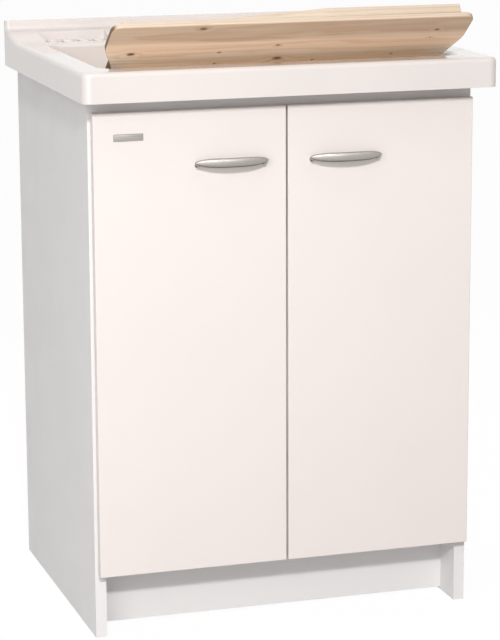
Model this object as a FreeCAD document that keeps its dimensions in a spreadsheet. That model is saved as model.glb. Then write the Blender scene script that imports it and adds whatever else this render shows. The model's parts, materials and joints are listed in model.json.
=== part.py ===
import FreeCAD, Part
import Sketcher
import math
import os
import re

# Laundry sink cabinet: a moulded washtub on a two-door cabinet, with a wooden washboard.
# Millimetres. +Z is up, +Y points to the wall, +X to the right of someone facing the doors.
# The origin is on the floor, under the middle of the whole object.

SIZES = {
    # Washtub
    "tub_width": 600,
    "tub_depth": 500,
    "rim_height": 812,
    "skirt_height": 42,
    "skirt_wall": 5,
    "rim_thick": 8,
    "tub_wall": 4,
    "top_round": 7,
    "corner_round": 14,
    "upstand_height": 26,
    "upstand_thick": 9,
    "upstand_cove": 7,
    "ramp_gap": 16,
    "ramp_rise": 13,
    "bowl_side_gap": 1,
    "bowl_depth": 250,
    "bowl_corner": 20,
    "front_rim": 45,
    "back_ledge": 120,
    "front_draft": 16,
    "back_draft": 12,
    "lip_round": 6,
    "floor_round": 16,
    "knee_gap": 3,
    "seat_drop": 14,
    "seat_rib": 5,
    "tray_width": 104,
    "tray_depth": 68,
    "tray_from_side": 46,
    "tray_from_back": 24,
    "tray_floor": 5,
    "flute_count": 4,
    "flute_width": 20,
    "flute_depth": 1.5,
    "flute_gap": 4,
    "corbel_reach": 26,
    "corbel_height": 24,
    "corbel_length": 40,
    # Carcass
    "side_overhang": 19,
    "front_overhang": 58,
    "panel_thick": 16,
    "kick_height": 96,
    "kick_setback": 54,
    "kick_gap": 4,
    "rail_height": 60,
    "rail_gap": 2,
    "rear_rail_height": 70,
    "rear_rail_drop": 8,
    "wall_hole_radius": 3.5,
    "wall_hole_pitch": 400,
    "dowel_radius": 4,
    "dowel_length": 32,
    "dowel_in_panel": 11,
    "dowel_edge": 18,
    "dowel_fit": 0.05,
    # Doors
    "door_thick": 16,
    "door_gap": 2.5,
    "door_drop": 2,
    "door_top_gap": 18,
    "door_reveal": 3.5,
    "centre_gap": 3,
    "door_edge": 1.5,
    "door_back_round": 4,
    "bumper_radius": 4,
    "bumper_inset": 24,
    "bumper_drop": 12,
    "bumper_play": 0.3,
    "nameplate_width": 42,
    "nameplate_height": 10,
    "nameplate_thick": 0.8,
    "nameplate_from_edge": 28.5,
    "nameplate_from_top": 29.5,
    # Handles
    "handle_length": 106,
    "handle_reach": 24,
    "handle_tip": 12,
    "handle_band": 4.5,
    "handle_post": 3,
    "handle_post_drop": 4.5,
    "handle_end": 7,
    "handle_end_round": 3.2,
    "handle_crown": 3,
    "handle_keel": 3.2,
    "handle_from_centre": 83.5,
    "handle_from_top": 73,
    "handle_screw_inset": 5,
    "handle_screw_radius": 2,
    "handle_screw_grip": 4.5,
    "screw_head_radius": 3.8,
    "screw_head_thick": 1.6,
    # Hinges
    "hinge_from_bottom": 90,
    "hinge_under_bowl": 40,
    "cup_radius": 17.5,
    "cup_depth": 14,
    "cup_inset": 22,
    "cup_fit": 0.1,
    "flange_plate": 1.2,
    "flange_width": 19,
    "flange_length": 58,
    "flange_screw_pitch": 45,
    "flange_screw_inset": 9.5,
    "flange_screw_length": 12,
    "pivot_inset": 9.5,
    "pivot_depth": 10.2,
    "pin_radius": 1.5,
    "pin_length": 18,
    "pin_fit": 0.05,
    "knuckle_radius": 2.6,
    "knuckle_play": 0.4,
    "neck_rise": 0.5,
    "riser_start": 11.8,
    "riser_thick": 3.6,
    "arm_height": 9,
    "arm_play": 0.5,
    "arm_start": 18,
    "arm_end": 62,
    "plate_thick": 5,
    "plate_start": 24,
    "plate_end": 54,
    "plate_length": 48,
    "plate_screw_pitch": 32,
    "plate_screw_length": 11,
    "plate_screw_radius": 2,
    # Washboard
    "board_slope": 36.4,
    "board_overhang": 10,
    "board_rise": 19,
    "head_side_gap": 0.5,
    "head_length": 122,
    "head_thick": 7.5,
    "head_round": 14,
    "shoulder_start": 50,
    "shoulder_round": 40,
    "shoulder_taper": 20,
    "board_side_gap": 20,
    "board_length": 360,
    "board_thick": 13.5,
    "relief_depth": 20,
    "relief_start": 45,
    "relief_end": -95,
    "rib_end": 18,
    "rib_pitch": 13.5,
    "rib_first": 112,
    "rib_half": 5,
    "rib_rise": 3,
    "rib_margin": 14,
    "rest_side_gap": 30,
    "rest_toe": 12,
    "rest_seat": 18,
    "rest_heel": 30,
    "rest_play": 0.3,
    # Waste and trap
    "drain_radius": 22.5,
    "drain_wall": 2,
    "drain_fit": 0.5,
    "drain_flange_lip": 13.5,
    "drain_flange_thick": 2,
    "strainer_drop": 14,
    "strainer_thick": 2,
    "strainer_hole": 4,
    "strainer_ring": 12,
    "strainer_count": 6,
    "stopper_depth": 8,
    "stopper_play": 0.5,
    "stopper_lip": 6.5,
    "stopper_cap_thick": 3,
    "stopper_knob_radius": 5,
    "stopper_knob_height": 12,
    "waste_seal_thick": 3,
    "waste_seal_lip": 11.5,
    "waste_nut_lip": 15.5,
    "waste_nut_height": 12,
    "tail_length": 40,
    "thread_fit": 0.1,
    "inlet_nut_wall": 8.5,
    "inlet_nut_height": 24,
    "neck_length": 16,
    "trap_radius": 33,
    "trap_wall": 3,
    "dip_radius": 19,
    "dip_length": 28,
    "cup_height": 46,
    "ring_wall": 6,
    "ring_height": 20,
    "outlet_radius": 20,
    "outlet_wall": 2,
    "outlet_step": 0.8,
    "stub_cover": 4,
    "stub_gap": 2,
    "outlet_socket": 15,
    "outlet_stub": 24,
    "outlet_nut_wall": 7,
    "outlet_nut_lip": 4,
}

doc = FreeCAD.newDocument("laundry_sink_cabinet")
sheet = doc.addObject("Spreadsheet::Sheet", "size")
for row, (alias, amount) in enumerate(SIZES.items(), start=1):
    sheet.set(f"A{row}", alias)
    sheet.set(f"B{row}", str(amount))
    sheet.setAlias(f"B{row}", alias)
doc.recompute()

# Main planes and places, as formulas of the sheet's cells
BACK = "((tub_depth + board_overhang) / 2)"
TUB_FRONT = f"({BACK} - tub_depth)"
PANEL_FRONT = f"({TUB_FRONT} + front_overhang)"
SKIRT_BOTTOM = "(rim_height - skirt_height)"
RIM_UNDER = "(rim_height - rim_thick)"
PANEL_TOP = "(rim_height - seat_drop)"
UPSTAND_TOP = "(rim_height + upstand_height)"
UPSTAND_FACE = f"({BACK} - upstand_thick)"
CARCASS_OUT = "(tub_width / 2 - side_overhang)"
CARCASS_IN = f"({CARCASS_OUT} - panel_thick)"
SHELF_TOP = "(kick_height + panel_thick)"
KICK_FRONT = f"({PANEL_FRONT} + kick_setback)"
RAIL_TOP = f"({SKIRT_BOTTOM} - rail_gap)"
REAR_RAIL_TOP = f"({PANEL_TOP} - rear_rail_drop)"
DOOR_BACK = f"({PANEL_FRONT} - door_gap)"
DOOR_FRONT = f"({DOOR_BACK} - door_thick)"
DOOR_BOTTOM = "(kick_height - door_drop)"
DOOR_TOP = f"({SKIRT_BOTTOM} - door_top_gap)"
DOOR_OUT = f"({CARCASS_OUT} - door_reveal)"
DOOR_IN = "(centre_gap / 2)"
HANDLE_Z = f"({DOOR_TOP} - handle_from_top)"
POST_Z = f"({HANDLE_Z} - handle_post_drop)"
BOWL_FLOOR = "(rim_height - bowl_depth)"
BOWL_UNDER = f"({BOWL_FLOOR} - tub_wall)"
BOWL_HALF = f"({CARCASS_IN} - bowl_side_gap - tub_wall)"
BOWL_BACK = f"({BACK} - back_ledge)"
LIP_Y = f"({TUB_FRONT} + front_rim)"
KNEE_Y = f"({PANEL_FRONT} + panel_thick + knee_gap + tub_wall)"
FLOOR_FRONT = f"({KNEE_Y} + front_draft)"
FLOOR_BACK = f"({BOWL_BACK} - back_draft)"
DRAIN_Y = f"(({FLOOR_FRONT} + {FLOOR_BACK}) / 2)"
PIVOT_U = f"({DOOR_OUT} - pivot_inset)"
PIVOT_Y = f"({DOOR_BACK} - pivot_depth)"
CUP_U = f"({DOOR_OUT} - cup_inset)"
HINGE_LEVELS = {
    "lower": f"({DOOR_BOTTOM} + hinge_from_bottom)",
    "upper": f"({BOWL_UNDER} - hinge_under_bowl)",
}
SIDES = {"left": -1, "right": 1}
BOARD_Y = f"({TUB_FRONT} - board_overhang)"
BOARD_Z = f"(rim_height + board_rise + ({LIP_Y} - {BOARD_Y}) * tan(board_slope))"

NODES = []


def cells(formula):
    """Points every size named in a formula at its cell in the sheet."""
    return re.sub(r"[a-z_]+", lambda m: f"size.{m[0]}" if m[0] in SIZES else m[0], str(formula))


def number(formula):
    """Works a formula out."""
    return float(sheet.evalExpression(cells(formula)))


def bind(thing, **formulas):
    """Ties properties of an object to formulas, with __ in a name standing for a dot."""
    for path, formula in formulas.items():
        thing.setExpression(path.replace("__", "."), cells(formula))


def node(thing, label):
    """Names a finished sub-part and lists it for writing."""
    thing.Label = label
    NODES.append(thing)
    return thing


# Part primitives and booleans


def box(name, x, y, z):
    """A block between pairs of low and high formulas along each axis."""
    block = doc.addObject("Part::Box", name)
    for side, place, (low, high) in zip(("Length", "Width", "Height"), "xyz", (x, y, z)):
        bind(block, **{side: f"({high}) - ({low})", f"Placement__Base__{place}": low})
    return block


def flank(side, low, high):
    """The X pair of a span of distances from the middle plane, on the left (-1) or right (1)."""
    return (low, high) if side > 0 else (f"-({high})", f"-({low})")


TURNS = {
    "x": FreeCAD.Rotation(FreeCAD.Vector(0, 1, 0), 90),
    "y": FreeCAD.Rotation(FreeCAD.Vector(1, 0, 0), -90),
    "z": FreeCAD.Rotation(),
}


def rod(name, axis, start, radius, length):
    """A cylinder along +axis from its start point."""
    bar = doc.addObject("Part::Cylinder", name)
    bar.Placement = FreeCAD.Placement(FreeCAD.Vector(), TURNS[axis])
    bind(bar, Radius=radius, Height=length)
    bind(bar, Placement__Base__x=start[0], Placement__Base__y=start[1], Placement__Base__z=start[2])
    return bar


def side_rod(name, side, outer, inner, y, z, radius):
    """A cylinder along X on one side, between an outer and an inner distance from the middle plane."""
    start = inner if side > 0 else f"-({outer})"
    return rod(name, "x", (start, y, z), radius, f"({outer}) - ({inner})")


def fuse(name, *shapes):
    """Joins overlapping shapes into one solid."""
    joined = doc.addObject("Part::MultiFuse", name)
    joined.Shapes = list(shapes)
    return joined


def group(name, shapes):
    """Holds separate solids together as one object."""
    held = doc.addObject("Part::Compound", name)
    held.Links = list(shapes)
    return held


def cut(name, base, *tools):
    """Takes the tools away from the base."""
    left_over = doc.addObject("Part::Cut", name)
    left_over.Base = base
    left_over.Tool = tools[0] if len(tools) == 1 else group(name + "_tools", tools)
    return left_over


def tube(name, axis, start, outer, inner, length):
    """A straight pipe with a through bore."""
    wall = rod(name + "_wall", axis, start, outer, length)
    bore = rod(name + "_bore", axis, start, inner, length)
    return cut(name, wall, bore)


# Bodies with sketches


def body(name):
    """An empty body."""
    return doc.addObject("PartDesign::Body", name)


def sketch(owner, role, offset="0"):
    """A sketch on one of the body's origin planes, moved along that plane's normal."""
    drawing = owner.newObject("Sketcher::SketchObject", owner.Name + "_sketch")
    plane = next(f for f in owner.Origin.OriginFeatures if f.Role == role)
    drawing.AttachmentSupport = [(plane, "")]
    drawing.MapMode = "FlatFace"
    bind(drawing, AttachmentOffset__Base__z=offset)
    return drawing


def fix(drawing, kind, formula, *place):
    """Adds a dimension to a sketch and ties it to its formula."""
    index = drawing.addConstraint(Sketcher.Constraint(kind, *place, number(formula)))
    drawing.setExpression(f"Constraints[{index}]", cells(formula))


def arc_between(start, end, radius, left):
    """The arc under a half circle from start to end whose centre lies to the left or right of the way."""
    way = end - start
    half = way.Length / 2
    rise = math.sqrt(max(radius ** 2 - half ** 2, 0))
    normal = FreeCAD.Vector(-way.y, way.x, 0).normalize() * (rise if left else -rise)
    centre = (start + end) / 2 + normal
    first, last = (start, end) if left else (end, start)
    angles = [math.atan2(p.y - centre.y, p.x - centre.x) for p in (first, last)]
    return Part.ArcOfCircle(Part.Circle(centre, FreeCAD.Vector(0, 0, 1), radius), *angles)


def outline(drawing, points):
    """Draws a closed outline.

    Each point is (x, y) with a straight edge to the next one, or (x, y, radius, side) with an arc
    whose centre lies on that side, "left" or "right", of the way to the next point.
    """
    places = [FreeCAD.Vector(number(p[0]), number(p[1]), 0) for p in points]
    first = drawing.GeometryCount
    count = len(points)
    for i, point in enumerate(points):
        start, end = places[i], places[(i + 1) % count]
        if len(point) == 2:
            drawing.addGeometry(Part.LineSegment(start, end), False)
        else:
            drawing.addGeometry(arc_between(start, end, number(point[2]), point[3] == "left"), False)
    turned = [len(p) == 4 and p[3] == "right" for p in points]
    for i, point in enumerate(points):
        following = (i + 1) % count
        edge, after = first + i, first + following
        start_end = 2 if turned[i] else 1
        drawing.addConstraint(
            Sketcher.Constraint("Coincident", edge, 3 - start_end, after, 2 if turned[following] else 1)
        )
        fix(drawing, "DistanceX", point[0], -1, 1, edge, start_end)
        fix(drawing, "DistanceY", point[1], -1, 1, edge, start_end)
        if len(point) == 4:
            fix(drawing, "Radius", point[2], edge)


def rectangle(drawing, x, y):
    """A rectangle between pairs of low and high formulas."""
    outline(drawing, [(x[0], y[0]), (x[1], y[0]), (x[1], y[1]), (x[0], y[1])])


def round_rectangle(drawing, x, y, radius):
    """A rectangle with quarter-round corners."""
    (x_low, x_high), (y_low, y_high) = x, y
    outline(
        drawing,
        [
            (f"{x_low} + {radius}", y_low),
            (f"{x_high} - {radius}", y_low, radius, "left"),
            (x_high, f"{y_low} + {radius}"),
            (x_high, f"{y_high} - {radius}", radius, "left"),
            (f"{x_high} - {radius}", y_high),
            (f"{x_low} + {radius}", y_high, radius, "left"),
            (x_low, f"{y_high} - {radius}"),
            (x_low, f"{y_low} + {radius}", radius, "left"),
        ],
    )


def circle(drawing, x, y, radius):
    """A circle about a point."""
    centre = FreeCAD.Vector(number(x), number(y), 0)
    shape = Part.Circle(centre, FreeCAD.Vector(0, 0, 1), number(radius))
    index = drawing.addGeometry(shape, False)
    fix(drawing, "DistanceX", x, -1, 1, index, 3)
    fix(drawing, "DistanceY", y, -1, 1, index, 3)
    fix(drawing, "Radius", radius, index)


def pad(owner, drawing, length, symmetric=False, back=False):
    """Adds the sketch's area, pushed along its normal."""
    feature = owner.newObject("PartDesign::Pad", owner.Name + "_pad")
    feature.Profile = drawing
    feature.SideType = "Symmetric" if symmetric else "One side"
    feature.Reversed = back
    bind(feature, Length=length)
    doc.recompute()
    return feature


def pocket(owner, drawing, length, along):
    """Cuts the sketch's area away, along its normal or against it, and checks that it cut."""
    before = owner.Shape.Volume
    feature = owner.newObject("PartDesign::Pocket", owner.Name + "_pocket")
    feature.Profile = drawing
    feature.Reversed = along
    bind(feature, Length=length)
    doc.recompute()
    if owner.Shape.Volume >= before:
        raise RuntimeError(f"a pocket of {owner.Name} cuts nothing")
    return feature


def loft(owner, kind, drawings):
    """Joins sketches on parallel planes with straight walls, as an added or a cut shape."""
    feature = owner.newObject(f"PartDesign::{kind}Loft", owner.Name + "_loft")
    feature.Profile = drawings[0]
    feature.Sections = drawings[1:]
    feature.Ruled = True
    doc.recompute()
    return feature


def round_edges(owner, radius, chosen):
    """Rounds the edges of the body's tip that the test picks."""
    tip = owner.Tip
    names = [f"Edge{i}" for i, edge in enumerate(tip.Shape.Edges, start=1) if chosen(edge)]
    feature = owner.newObject("PartDesign::Fillet", owner.Name + "_round")
    feature.Base = (tip, names)
    bind(feature, Radius=radius)
    doc.recompute()
    return feature


def near(a, b):
    """Tells whether two lengths agree."""
    return abs(a - b) < 0.01


def lies(edge, **places):
    """Tells whether an edge lies in the planes given as x=, y= or z= formulas."""
    limits = edge.BoundBox
    spans = {
        "x": (limits.XMin, limits.XMax),
        "y": (limits.YMin, limits.YMax),
        "z": (limits.ZMin, limits.ZMax),
    }
    return all(near(spans[axis][end], number(formula)) for axis, formula in places.items() for end in (0, 1))


# Washtub


def bowl_sections(owner, wall, floor):
    """Rounded rectangles of the bowl at the rim, at the skirt's bottom and at its floor, grown by a wall."""
    levels = [
        ("rim_height", LIP_Y, BOWL_BACK),
        (SKIRT_BOTTOM, KNEE_Y, BOWL_BACK),
        (floor, FLOOR_FRONT, FLOOR_BACK),
    ]
    drawings = []
    for level, front, back in levels:
        drawing = sketch(owner, "XY_Plane", level)
        half = f"({BOWL_HALF} + {wall})"
        round_rectangle(
            drawing, (f"-{half}", half), (f"{front} - {wall}", f"{back} + {wall}"), f"(bowl_corner + {wall})"
        )
        drawings.append(drawing)
    return drawings


def washtub():
    """One moulding: apron, rim, raised back with soap trays, and a bowl whose front wall slants."""
    tub = body("washtub")
    ramp_start = f"({BOWL_BACK} + ramp_gap)"
    ramp_depth = f"({UPSTAND_FACE} - {ramp_start})"
    ramp_top = "(rim_height + ramp_rise)"
    ramp_radius = f"(({ramp_depth} ^ 2 + ramp_rise ^ 2) / (2 * ramp_rise))"
    side = sketch(tub, "YZ_Plane")
    outline(
        side,
        [
            (TUB_FRONT, SKIRT_BOTTOM),
            (BACK, SKIRT_BOTTOM),
            (BACK, UPSTAND_TOP),
            (UPSTAND_FACE, UPSTAND_TOP),
            (UPSTAND_FACE, ramp_top, ramp_radius, "right"),
            (ramp_start, "rim_height"),
            (TUB_FRONT, "rim_height"),
        ],
    )
    pad(tub, side, "tub_width", symmetric=True)
    half = number("tub_width / 2")
    round_edges(
        tub,
        "corner_round",
        lambda e: lies(e, y=TUB_FRONT) and near(abs(e.CenterOfMass.x), half) and e.BoundBox.XLength < 1,
    )
    round_edges(tub, "upstand_cove", lambda e: lies(e, y=UPSTAND_FACE, z=ramp_top))
    round_edges(tub, "top_round", lambda e: lies(e, y=TUB_FRONT, z="rim_height"))

    under = sketch(tub, "XY_Plane", SKIRT_BOTTOM)
    inside = "(tub_width / 2 - skirt_wall)"
    rectangle(under, (f"-{inside}", inside), (f"{TUB_FRONT} + skirt_wall", f"{BACK} + skirt_wall"))
    pocket(tub, under, f"{RIM_UNDER} - {SKIRT_BOTTOM}", along=True)

    loft(tub, "Additive", bowl_sections(tub, "tub_wall", BOWL_UNDER))

    ribs = sketch(tub, "XY_Plane", PANEL_TOP)
    for sign in SIDES.values():
        rectangle(ribs, flank(sign, f"{CARCASS_OUT} - seat_rib", CARCASS_OUT), (PANEL_FRONT, BACK))
    pad(tub, ribs, f"{RIM_UNDER} - {PANEL_TOP}")

    loft(tub, "Subtractive", bowl_sections(tub, "0", BOWL_FLOOR))
    round_edges(
        tub,
        "lip_round",
        lambda e: lies(e, z="rim_height")
        and abs(e.CenterOfMass.x) < number(f"{BOWL_HALF} + 1")
        and number(LIP_Y) - 1 < e.CenterOfMass.y < number(BOWL_BACK) + 1,
    )
    round_edges(tub, "floor_round", lambda e: lies(e, z=BOWL_FLOOR))

    board_end_y = f"({BOARD_Y} + board_length * cos(board_slope) + head_thick * sin(board_slope))"
    board_end_z = f"({BOARD_Z} - board_length * sin(board_slope) + head_thick * cos(board_slope))"
    corbels = sketch(tub, "XY_Plane", f"{board_end_z} - rest_play")
    for sign in SIDES.values():
        rectangle(
            corbels,
            flank(sign, f"{BOWL_HALF} - corbel_reach", f"{BOWL_HALF} + tub_wall / 2"),
            (f"{board_end_y} - corbel_length / 2", f"{board_end_y} + corbel_length / 2"),
        )
    pad(tub, corbels, "corbel_height", back=True)

    trays = sketch(tub, "XY_Plane", UPSTAND_TOP)
    tray_y = (f"({BACK} - tray_from_back - tray_depth)", f"({BACK} - tray_from_back)")
    tray_edge = "(tub_width / 2 - tray_from_side)"
    for sign in SIDES.values():
        round_rectangle(trays, flank(sign, f"({tray_edge} - tray_width)", tray_edge), tray_y, "flute_gap")
    tray_bottom = f"({RIM_UNDER} + tray_floor)"
    pocket(tub, trays, f"{UPSTAND_TOP} - {tray_bottom}", along=False)

    flutes = sketch(tub, "XY_Plane", tray_bottom)
    step = "(flute_width + flute_gap)"
    margin = "((tray_width - flute_count * flute_width - (flute_count - 1) * flute_gap) / 2)"
    for sign in SIDES.values():
        for i in range(int(number("flute_count"))):
            inner = f"({tray_edge} - tray_width + {margin} + {i} * {step})"
            rectangle(
                flutes,
                flank(sign, inner, f"({inner} + flute_width)"),
                (f"{tray_y[0]} + flute_gap", f"{tray_y[1]} - flute_gap"),
            )
    pocket(tub, flutes, "flute_depth", along=False)

    drain = sketch(tub, "XY_Plane", BOWL_FLOOR)
    circle(drain, "0", DRAIN_Y, "drain_radius + drain_fit")
    pocket(tub, drain, "2 * tub_wall", along=False)
    return node(tub, "washtub")


# Carcass


def dowel_rows():
    """The (y, z) places of the dowels in each cross piece."""
    half = "panel_thick / 2"

    def pair(y, low, high):
        return [(y, f"{low} + dowel_edge"), (y, f"{high} - dowel_edge")]

    shelf_z = f"(kick_height + {half})"
    return {
        "bottom_panel": [
            (f"{PANEL_FRONT} + 2 * dowel_edge", shelf_z),
            (f"({PANEL_FRONT} + {BACK}) / 2", shelf_z),
            (f"{BACK} - 3 * dowel_edge", shelf_z),
        ],
        "front_top_rail": pair(f"{PANEL_FRONT} + {half}", f"{RAIL_TOP} - rail_height", RAIL_TOP),
        "rear_top_rail": pair(f"{BACK} - {half}", f"{REAR_RAIL_TOP} - rear_rail_height", REAR_RAIL_TOP),
        "rear_bottom_rail": pair(f"{BACK} - {half}", SHELF_TOP, f"{SHELF_TOP} + rear_rail_height"),
        "kickboard": pair(f"{KICK_FRONT} + {half}", "kick_gap", "kick_height"),
    }


def plate_screw_places():
    """The (y, z) places of the mounting plate screws on one side panel."""
    y = f"{PANEL_FRONT} + (plate_start + plate_end) / 2"
    return [
        (y, f"{level} + {sign} * plate_screw_pitch / 2")
        for level in HINGE_LEVELS.values()
        for sign in (-1, 1)
    ]


def carcass():
    """Side panels, bottom, rails and kickboard, joined by dowels."""
    inner = (f"-{CARCASS_IN}", CARCASS_IN)
    at_front = (PANEL_FRONT, f"{PANEL_FRONT} + panel_thick")
    at_back = (f"{BACK} - panel_thick", BACK)
    at_kick = (KICK_FRONT, f"{KICK_FRONT} + panel_thick")
    blanks = {
        "bottom_panel": ((PANEL_FRONT, BACK), ("kick_height", SHELF_TOP)),
        "front_top_rail": (at_front, (f"{RAIL_TOP} - rail_height", RAIL_TOP)),
        "rear_top_rail": (at_back, (f"{REAR_RAIL_TOP} - rear_rail_height", REAR_RAIL_TOP)),
        "rear_bottom_rail": (at_back, (SHELF_TOP, f"{SHELF_TOP} + rear_rail_height")),
        "kickboard": (at_kick, ("kick_gap", "kick_height")),
    }
    outer_end = f"({CARCASS_IN} + dowel_in_panel)"
    inner_end = f"({outer_end} - dowel_length)"
    holes = {"left": [], "right": []}
    dowels = {"left": [], "right": []}
    rows = dowel_rows()
    for name, (y, z) in blanks.items():
        piece_holes = []
        for side, sign in SIDES.items():
            for i, place in enumerate(rows[name]):
                tag = f"{name}_{side}_{i}"
                ends = (f"{outer_end} + dowel_fit", f"{inner_end} - dowel_fit")
                hole = side_rod("hole_" + tag, sign, *ends, *place, "dowel_radius + dowel_fit")
                holes[side].append(hole)
                piece_holes.append(hole)
                dowel = side_rod("dowel_" + tag, sign, outer_end, inner_end, *place, "dowel_radius")
                dowels[side].append(dowel)
        if name == "rear_top_rail":
            level = f"({z[0]} + {z[1]}) / 2"
            for sign in SIDES.values():
                start = (f"{sign} * wall_hole_pitch / 2", y[0], level)
                piece_holes.append(rod(f"wall_hole_{sign}", "y", start, "wall_hole_radius", "panel_thick"))
        node(cut(name, box(name + "_blank", inner, y, z), *piece_holes), name)
    for side, sign in SIDES.items():
        for i, place in enumerate(plate_screw_places()):
            ends = (f"{CARCASS_IN} + plate_screw_length", CARCASS_IN)
            holes[side].append(side_rod(f"plate_hole_{side}_{i}", sign, *ends, *place, "plate_screw_radius"))
        name = side + "_side_panel"
        across = flank(sign, CARCASS_IN, CARCASS_OUT)
        blank = box(name + "_blank", across, (PANEL_FRONT, BACK), ("0", PANEL_TOP))
        node(cut(name, blank, *holes[side]), name)
        node(group(f"{side}_dowels", dowels[side]), f"{side}_dowels")


# Doors, handles and what is on them


def handle_screw_x(sign):
    """The two screw places of a handle along X."""
    centre = f"{sign} * handle_from_centre"
    reach = "(handle_length / 2 - handle_screw_inset)"
    return [f"{centre} - {reach}", f"{centre} + {reach}"]


def door(side, sign):
    """A door panel with soft front edges, hinge cup holes and handle screw holes."""
    panel = body(side + "_door_panel")
    face = sketch(panel, "XZ_Plane", f"-{DOOR_BACK}")
    rectangle(face, flank(sign, DOOR_IN, DOOR_OUT), (DOOR_BOTTOM, DOOR_TOP))
    pad(panel, face, "door_thick")
    hinge_edge = f"{sign} * {DOOR_OUT}"
    round_edges(panel, "door_back_round", lambda e: lies(e, x=hinge_edge, y=DOOR_BACK))
    round_edges(panel, "door_edge", lambda e: lies(e, y=DOOR_FRONT))
    cups = sketch(panel, "XZ_Plane", f"-{DOOR_BACK}")
    pilots = sketch(panel, "XZ_Plane", f"-{DOOR_BACK}")
    for level in HINGE_LEVELS.values():
        circle(cups, f"{sign} * {CUP_U}", level, "cup_radius + cup_fit")
        for end in (-1, 1):
            x = f"{sign} * ({CUP_U} - flange_screw_inset)"
            circle(pilots, x, f"{level} + {end} * flange_screw_pitch / 2", "plate_screw_radius")
    pocket(panel, cups, "cup_depth + cup_fit", along=True)
    pocket(panel, pilots, "flange_screw_length", along=True)
    screws = sketch(panel, "XZ_Plane", f"-{DOOR_BACK}")
    for x in handle_screw_x(sign):
        circle(screws, x, POST_Z, "handle_screw_radius + dowel_fit")
    pocket(panel, screws, "door_thick + door_edge", along=True)
    node(panel, side + "_door_panel")


def handle(side, sign):
    """A bowed leaf of metal with round ends, carried clear of the door by two posts under its ends."""
    centre = f"({sign} * handle_from_centre)"
    half = "(handle_length / 2)"
    rise = "(handle_reach - handle_tip)"
    bend = f"(({half} ^ 2 + {rise} ^ 2) / (2 * {rise}))"
    tip_y = f"({DOOR_FRONT} - handle_tip)"
    bow = body(side + "_handle")
    band = sketch(bow, "XY_Plane", HANDLE_Z)
    outline(
        band,
        [
            (f"{centre} - {half}", tip_y, bend, "left"),
            (f"{centre} + {half}", tip_y),
            (f"{centre} + {half}", f"{tip_y} + handle_band", bend, "right"),
            (f"{centre} - {half}", f"{tip_y} + handle_band"),
        ],
    )
    pad(bow, band, "2 * (handle_keel + handle_end + handle_crown)", symmetric=True)
    top = f"({HANDLE_Z} + handle_end / 2)"
    bottom = f"({HANDLE_Z} - handle_end / 2)"
    frame = sketch(bow, "XZ_Plane", f"-{DOOR_FRONT}")
    spare = "(handle_keel + handle_end + handle_crown + 1)"
    rectangle(
        frame,
        (f"{centre} - {half} - {spare}", f"{centre} + {half} + {spare}"),
        (f"{HANDLE_Z} - {spare}", f"{HANDLE_Z} + {spare}"),
    )
    outline(
        frame,
        [
            (f"{centre} - {half}", bottom, f"(({half} ^ 2 + handle_keel ^ 2) / (2 * handle_keel))", "left"),
            (f"{centre} + {half}", bottom),
            (f"{centre} + {half}", top, f"(({half} ^ 2 + handle_crown ^ 2) / (2 * handle_crown))", "left"),
            (f"{centre} - {half}", top),
        ],
    )
    pocket(bow, frame, "handle_reach + 1", along=True)
    ends = [f"{centre} + {end} * {half}" for end in (-1, 1)]
    round_edges(
        bow,
        "handle_end_round",
        lambda e: e.BoundBox.YLength > number("handle_band") / 2 and any(lies(e, x=end) for end in ends),
    )
    posts = sketch(bow, "XZ_Plane", f"-{DOOR_FRONT}")
    threads = sketch(bow, "XZ_Plane", f"-{DOOR_FRONT}")
    for x in handle_screw_x(sign):
        circle(posts, x, POST_Z, "handle_post")
        circle(threads, x, POST_Z, "handle_screw_radius")
    pad(bow, posts, "handle_tip")
    pocket(bow, threads, "handle_screw_grip", along=True)
    node(bow, side + "_handle")

    screws = []
    for i, x in enumerate(handle_screw_x(sign)):
        tag = f"handle_screw_{side}_{i}"
        tip = f"{DOOR_FRONT} - handle_screw_grip"
        reach = "door_thick + handle_screw_grip"
        shank = rod(tag + "_shank", "y", (x, tip, POST_Z), "handle_screw_radius", reach)
        head = rod(tag + "_head", "y", (x, DOOR_BACK, POST_Z), "screw_head_radius", "screw_head_thick")
        screws.append(fuse(tag, shank, head))
    node(group(side + "_handle_screws", screws), side + "_handle_screws")


def nameplate():
    """A bare plate near the top of the left door."""
    outer = f"({DOOR_OUT} - nameplate_from_edge)"
    top = f"({DOOR_TOP} - nameplate_from_top)"
    plate = box(
        "nameplate",
        flank(-1, f"{outer} - nameplate_width", outer),
        (f"{DOOR_FRONT} - nameplate_thick", DOOR_FRONT),
        (f"{top} - nameplate_height", top),
    )
    node(plate, "nameplate")


def bumpers():
    """Small pads on the rail and the bottom panel that the doors close against."""
    pads = []
    for side, sign in SIDES.items():
        for end, level in {
            "top": f"{DOOR_TOP} - bumper_drop",
            "bottom": "kick_height + panel_thick / 2",
        }.items():
            start = (f"{sign} * ({DOOR_IN} + bumper_inset)", f"{DOOR_BACK} + bumper_play", level)
            pads.append(rod(f"bumper_{side}_{end}", "y", start, "bumper_radius", "door_gap - bumper_play"))
    node(group("door_bumpers", pads), "door_bumpers")


# Hinges


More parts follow.
